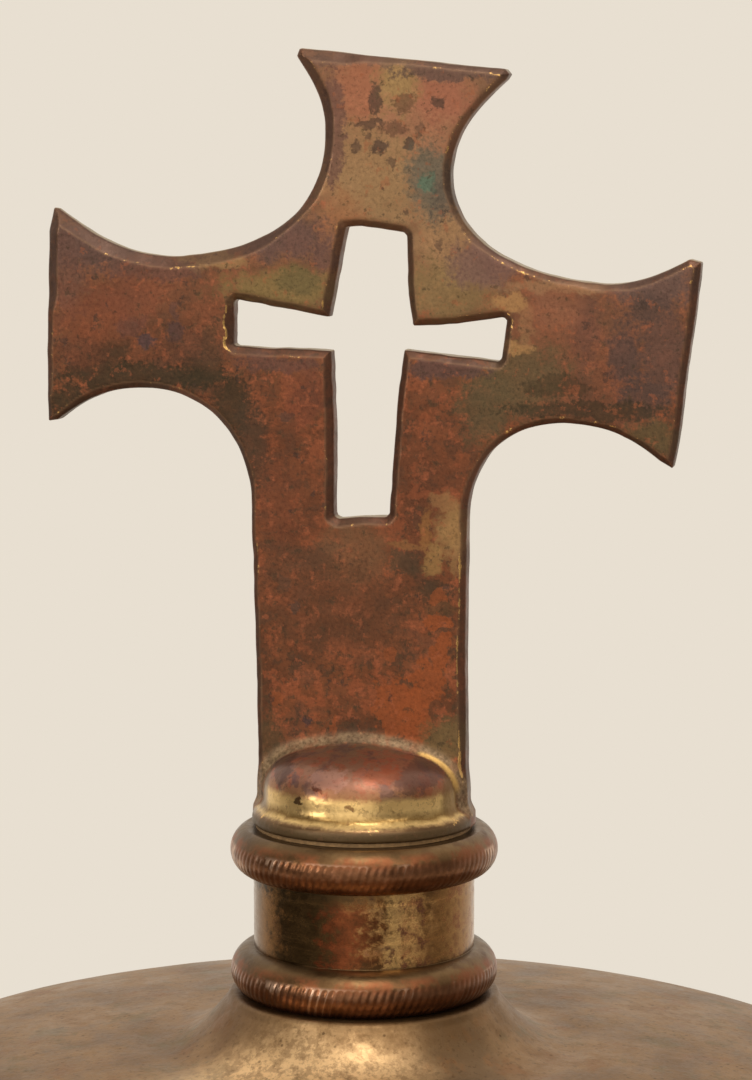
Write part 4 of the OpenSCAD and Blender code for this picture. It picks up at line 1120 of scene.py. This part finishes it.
def leather_material():
    M = Mat("old_leather")
    a = M.noise(3.0, 4.0, 0.6)
    v = M.voronoi(0.7)
    c = M.ramp(a, [(0.35, lin(136, 108, 72)), (0.55, lin(160, 128, 88)), (0.7, lin(144, 112, 74))])
    c = M.mix(M.step(v.outputs["Distance"], 0.35, 0.6, 0.0, 0.4), c, lin(104, 80, 54))
    nrm = M.bump(v.outputs["Distance"], 0.06, 0.5)
    return M.finish(c, M.fmix(a, 0.6, 0.8), nrm, 0.0)


# ---------------------------------------------------------------- screws and nuts
def make_thread_rod(name, node, r, z0, z1, pitch, body, threads):
    """A rod on +Z with real single-start threads on the given spans."""
    n = 48
    depth = 0.6
    zs = []
    z = z0
    while z < z1 - 1e-6:
        fine = any(a - 1 <= z <= b + 1 for a, b in threads)
        zs.append(z)
        z += (pitch / 8.0) if fine else 2.0
    zs.append(z1)
    zs = np.array(zs)
    th = np.linspace(0, 2 * np.pi, n, endpoint=False)
    V, Q = [], []
    for z in zs:
        on = max([smooth(a, a + 0.8, z) * smooth(b + 0.01, b - 0.8, z) for a, b in threads] or [0])
        ph = (z / pitch - th / (2 * np.pi)) % 1.0
        saw = np.abs(ph * 2 - 1)
        d = depth * on * np.clip(1.15 - 1.3 * saw, 0, 1)
        end = min(z - z0, z1 - z)
        rr = r - d - max(0.0, 0.6 - end)
        rr = np.maximum(rr, 1.0)
        V.append(np.stack([rr * np.cos(th), rr * np.sin(th), np.full(n, z)], 1))
    V = np.concatenate(V)
    m = len(zs)
    for i in range(m - 1):
        for j in range(n):
            j2 = (j + 1) % n
            Q.append((i * n + j, i * n + j2, (i + 1) * n + j2, (i + 1) * n + j))
    # closed ends as fans of quads round a small centre ring
    for end, flip in ((0, True), (m - 1, False)):
        ring = [end * n + j for j in range(n)]
        prev = ring
        for f in (0.6, 0.2):
            base = len(V)
            V = np.vstack([V, np.stack([V[ring][:, 0] * f, V[ring][:, 1] * f, V[ring][:, 2]], 1)])
            cur = list(range(base, base + n))
            for j in range(n):
                j2 = (j + 1) % n
                q = (prev[j], prev[j2], cur[j2], cur[j])
                Q.append(q[::-1] if flip else q)
            prev = cur
        c = len(V)
        V = np.vstack([V, [[0, 0, zs[end]]]])
        for j in range(0, n, 2):
            q = (prev[j], prev[(j + 1) % n], prev[(j + 2) % n], c)
            Q.append(q[::-1] if flip else q)
    ob = mesh_from(name, V, Q)
    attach(ob, body)
    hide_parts(node)
    return ob


def sdf_piece(name, node, F, lo3, hi3, h, body):
    gx, gy, gz = grid_axes(lo3, hi3, h)
    X, Y, Z = np.meshgrid(gx, gy, gz, indexing="ij")
    P = np.stack([X.ravel(), Y.ravel(), Z.ravel()], 1)
    phi = F(P).reshape(X.shape)
    v, q = surface_nets(phi, (gx[0], gy[0], gz[0]), h)
    v = relax(v, F, 2, 0.03)
    ob = mesh_from(name, v, q)
    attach(ob, body)
    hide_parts(node)
    return ob


def box_round(a, b, r):
    return np.minimum(np.maximum(a + r, b + r), 0) + np.hypot(np.maximum(a + r, 0), np.maximum(b + r, 0)) - r


def nut_sdf(z0, h, afr=9.2, hole=5.05):
    af = afr * math.cos(math.pi / 6)

    def F(p):
        hexd = np.full(len(p), -1e9)
        for k in range(6):
            t = math.radians(30 + 60 * k)
            hexd = np.maximum(hexd, p[:, 0] * math.cos(t) + p[:, 1] * math.sin(t) - af)
        zc = np.abs(p[:, 2] - (z0 + h / 2)) - h / 2
        d = box_round(hexd, zc, 0.15)
        rho = np.hypot(p[:, 0], p[:, 1])
        cham = (rho - (af + 0.05)) * 0.5 + (np.abs(p[:, 2] - (z0 + h / 2)) - (h / 2)) * 0.87
        d = np.maximum(d, cham)
        mouth = np.minimum(hole - rho, 9)
        mouth = np.maximum(mouth, (hole + 0.6 - rho) * 0.7 + (np.abs(p[:, 2] - (z0 + h / 2)) - h / 2) * 0.7)
        return np.maximum(d, mouth)
    return F


def smin(a, b, k):
    h = np.clip(k - np.abs(a - b), 0, None) / k
    return np.minimum(a, b) - h * h * k * 0.25


def thumb_sdf(p):
    """Thumbscrew in its own axes: x, z across, t = distance outwards along +Y."""
    x, t, z = p[:, 0], p[:, 1], p[:, 2] - SCREW_Z
    rho = np.hypot(x, z)
    pilot = box_round(rho - 1.5, np.abs(t - 16.7) - 0.7, 0.15)
    ph = (t / 1.0 - np.arctan2(z, x) / (2 * np.pi)) % 1.0
    saw = np.abs(ph * 2 - 1)
    cut = 0.30 * np.clip(1.1 - 1.3 * saw, 0, 1) * smooth(17.4, 18.0, t) * smooth(24.6, 24.0, t)
    shank = box_round(rho - 2.97 + cut, np.abs(t - 21.4) - 4.1, 0.2)
    collar = box_round(rho - 4.55, np.abs(t - 26.3) - 1.15, 0.35)
    groove = 0.25 * np.exp(-((t - 26.3) / 0.35) ** 2)
    collar = collar + groove
    neck = box_round(rho - (2.9 - 0.25 * (t - 27.0)), np.abs(t - 29.0) - 2.2, 0.3)
    # oval grip, dished on both faces, with a raised lip
    gx, gt = x, t - 35.3
    q = np.hypot(gx, gt * 1.0)
    lip = 1.15 - 0.42 * smooth(6.0, 4.4, q) * (1 - 0.4 * smooth(2.5, 0.5, q))
    grip = box_round(q - 7.3, np.abs(z) - lip, 0.55)
    grip = np.maximum(grip, 28.8 - t)
    d = smin(smin(collar, neck, 1.2), grip, 1.6)
    return np.minimum(np.minimum(d, shank), pilot)


# ---------------------------------------------------------------- make everything
def give(ob, mat):
    ob.data.materials.clear()
    ob.data.materials.append(mat)
    return ob


cross = give(make_cross(), cross_material())

upper_ring = give(make_ring("upper_ring", "upper_milled_ring", RING_UP, True, 17.6, 14.0), ring_material("upper_ring_patina", RING_UP))
lower_ring = give(make_ring("lower_ring", "lower_milled_ring", RING_LO, False, 17.6), ring_material("lower_ring_patina", RING_LO))
collar = give(make_tube("collar", "collar_tube", 15.6, 17.6, RING_LO, RING_UP, "stack",
                        lines=((RING_LO + 13.4, 0.18, 0.05), (RING_LO + 7.6, 0.16, 0.04), (RING_LO + 10.6, 0.12, 0.03))), tube_material())
knop_mat = knop_material()
dome = give(make_upper_shell(), knop_mat)
bowl = give(make_lower_shell(), knop_mat)
SOCKET_TONES = [(0.32, lin(104, 74, 46)), (0.45, lin(134, 98, 60)), (0.56, lin(160, 122, 78)), (0.70, lin(128, 84, 54))]
band = give(make_girdle(), plain_brass("band_patina", GIRDLE, [(0.34, lin(120, 88, 56)), (0.46, lin(150, 114, 74)), (0.56, lin(178, 140, 92)), (0.68, lin(138, 96, 62))], 0.34))
under = give(make_ring("under_ring", "under_collar_ring", TUBE_TOP, True, 17.0, None, milled=False),
             plain_brass("under_ring_patina", TUBE_TOP, SOCKET_TONES, 0.36))

steel = steel_material()
stud = give(make_thread_rod("stud", "center_stud", 5.0, STUD_LO, STUD_HI, 1.5, "stack",
                            [(STUD_LO + 0.5, STUD_LO + 13), (STUD_HI - 24, STUD_HI - 0.5)]), steel)
h_nut = 0.3
nut1 = give(sdf_piece("clamp_nut_hex", "clamp_nut", nut_sdf(lo("clamp_nut"), hi("clamp_nut") - lo("clamp_nut")),
                      (-9.3, -9.3, lo("clamp_nut")), (9.3, 9.3, hi("clamp_nut")), h_nut, "stack"), steel)
nut2 = give(sdf_piece("stud_nut_hex", "stud_nut", nut_sdf(lo("stud_nut"), hi("stud_nut") - lo("stud_nut")),
                      (-9.3, -9.3, lo("stud_nut")), (9.3, 9.3, hi("stud_nut")), h_nut, "stack"), steel)
thumb = give(sdf_piece("thumb_grip", "thumbscrew", thumb_sdf, (-7.6, 15.8, SCREW_Z - 4.8), (7.6, 43, SCREW_Z + 4.8), 0.22, "screw"),
             plain_brass("thumb_patina", SCREW_Z, [(0.32, lin(134, 96, 54)), (0.45, lin(172, 130, 74)), (0.58, lin(204, 164, 100)), (0.72, lin(160, 112, 66))], 0.30, 6.0, spots=0.4))

inner = plain_brass("inner_brass", 100.0, [(0.32, lin(150, 116, 68)), (0.46, lin(184, 148, 90)), (0.58, lin(206, 170, 108)), (0.72, lin(168, 126, 76))], 0.32, 8.0, spots=0.3)
socket_mat = plain_brass("socket_patina", 40.0, SOCKET_TONES, 0.36, 14.0)
pad_mat = plain_brass("pad_brass", SCREW_Z, [(0.32, lin(150, 112, 62)), (0.5, lin(190, 150, 90)), (0.7, lin(160, 112, 66))], 0.32, 4.0, spots=0.3)
for node, mat in (("staff_socket", socket_mat), ("socket_mouth_ring", socket_mat), ("screw_boss", socket_mat), ("socket_plug", inner),
                  ("collar_cup", inner), ("knop_spacer_tube", inner), ("stud_washer", steel), ("cross_seat_washer", leather_material()),
                  ("pressure_pad", pad_mat)):
    give(NODES[node], mat)

# ---------------------------------------------------------------- floor, light, camera
def disc(name, r, z, n=96, rings=6):
    V = [(0, 0, z)]
    Q = []
    for k in range(1, rings + 1):
        for j in range(n):
            a = 2 * math.pi * j / n
            V.append((r * k / rings * math.cos(a), r * k / rings * math.sin(a), z))
    me = bpy.data.meshes.new(name)
    F = [(0, 1 + j, 1 + (j + 1) % n) for j in range(n)]
    for k in range(rings - 1):
        for j in range(n):
            a, b = 1 + k * n, 1 + (k + 1) * n
            F.append((a + j, b + j, b + (j + 1) % n, a + (j + 1) % n))
    me.from_pydata([(x / 1000, y / 1000, zz / 1000) for x, y, zz in V], [], F)
    ob = bpy.data.objects.new(name, me)
    bpy.context.scene.collection.objects.link(ob)
    return ob


floor = disc("floor", 490, -0.05)
fm = Mat("pale_floor")
fn = fm.noise(60.0, 4.0, 0.5)
give(floor, fm.finish(fm.ramp(fn, [(0.3, (0.70, 0.66, 0.59)), (0.7, (0.74, 0.70, 0.63))]), 0.75, None, 0.0))

AZ = math.radians(12.0)
TO_CAM = np.array([math.sin(AZ), -math.cos(AZ), 0.0])
RIGHT = np.array([math.cos(AZ), math.sin(AZ), 0.0])


def direction(az, el):
    a, e = math.radians(az), math.radians(el)
    return (TO_CAM * math.cos(a) + RIGHT * math.sin(a)) * math.cos(e) + np.array([0, 0, 1.0]) * math.sin(e)


world = bpy.data.worlds.new("studio")
bpy.context.scene.world = world
world.use_nodes = True
wt = world.node_tree
wt.nodes.clear()
BACK = lin(232, 223, 209)
LIGHTS = [
    # azimuth from the camera's direction (positive: picture right), elevation, inner and outer angle, colour
    (180, 18, 40, 95, (0.80, 0.74, 0.64)),
    (8, 48, 10, 42, (0.95, 0.88, 0.76)),
    (-56, 11, 4, 12, (7.0, 6.6, 5.8)),
    (-50, 34, 4, 11, (3.6, 3.3, 2.8)),
    (0, 62, 5, 12, (7.0, 6.6, 5.8)),
    (36, 40, 4, 10, (3.6, 3.3, 2.8)),
    (-14, 10, 8, 34, (0.80, 0.74, 0.64)),
    (75, 0, 20, 60, (0.22, 0.20, 0.17)),
    (-14, -8, 8, 46, (0.30, 0.275, 0.24)),
    (0, 90, 20, 60, (0.50, 0.46, 0.41)),
]
BASE = (0.13, 0.11, 0.09)


def wn(kind):
    return wt.nodes.new(kind)


tc = wn("ShaderNodeTexCoord")
total = None
for az, el, a0, a1, col in LIGHTS:
    dp = wn("ShaderNodeVectorMath")
    dp.operation = "DOT_PRODUCT"
    wt.links.new(tc.outputs["Generated"], dp.inputs[0])
    dp.inputs[1].default_value = tuple(direction(az, el))
    mr = wn("ShaderNodeMapRange")
    mr.interpolation_type = "SMOOTHSTEP"
    wt.links.new(dp.outputs["Value"], mr.inputs["Value"])
    mr.inputs["From Min"].default_value = math.cos(math.radians(a1))
    mr.inputs["From Max"].default_value = math.cos(math.radians(a0))
    sc = wn("ShaderNodeVectorMath")
    sc.operation = "SCALE"
    sc.inputs[0].default_value = col
    wt.links.new(mr.outputs["Result"], sc.inputs["Scale"])
    if total is None:
        ad = wn("ShaderNodeVectorMath")
        ad.operation = "ADD"
        ad.inputs[0].default_value = BASE
        wt.links.new(sc.outputs["Vector"], ad.inputs[1])
    else:
        ad = wn("ShaderNodeVectorMath")
        ad.operation = "ADD"
        wt.links.new(total, ad.inputs[0])
        wt.links.new(sc.outputs["Vector"], ad.inputs[1])
    total = ad.outputs["Vector"]
bg_light = wn("ShaderNodeBackground")
wt.links.new(total, bg_light.inputs[0])
bg_seen = wn("ShaderNodeBackground")
bg_seen.inputs[0].default_value = (*BACK, 1.0)
lp = wn("ShaderNodeLightPath")
mx = wn("ShaderNodeMixShader")
wt.links.new(lp.outputs["Is Camera Ray"], mx.inputs[0])
wt.links.new(bg_light.outputs[0], mx.inputs[1])
wt.links.new(bg_seen.outputs[0], mx.inputs[2])
ow = wn("ShaderNodeOutputWorld")
wt.links.new(mx.outputs[0], ow.inputs[0])

cam_data = bpy.data.cameras.new("view")
cam = bpy.data.objects.new("view", cam_data)
bpy.context.scene.collection.objects.link(cam)
cam_data.lens = 3329.0 / 1080.0 * 36.0
cam_data.sensor_width = 36.0
cam_data.sensor_fit = "AUTO"
cam_data.clip_start = 0.02
D, HC = 520.0, 115.2
loc = TO_CAM * D + np.array([0, 0, RING_UP + HC])
pitch, yaw = math.radians(7.23), math.radians(0.21)
fwd = (-TO_CAM * math.cos(yaw) + RIGHT * math.sin(yaw)) * math.cos(pitch) - np.array([0, 0, 1.0]) * math.sin(pitch)
from mathutils import Vector
cam.location = Vector(loc * 0.001)
cam.rotation_euler = Vector(fwd).to_track_quat("-Z", "Y").to_euler()
bpy.context.scene.camera = cam
bpy.context.scene.view_settings.view_transform = "Standard"
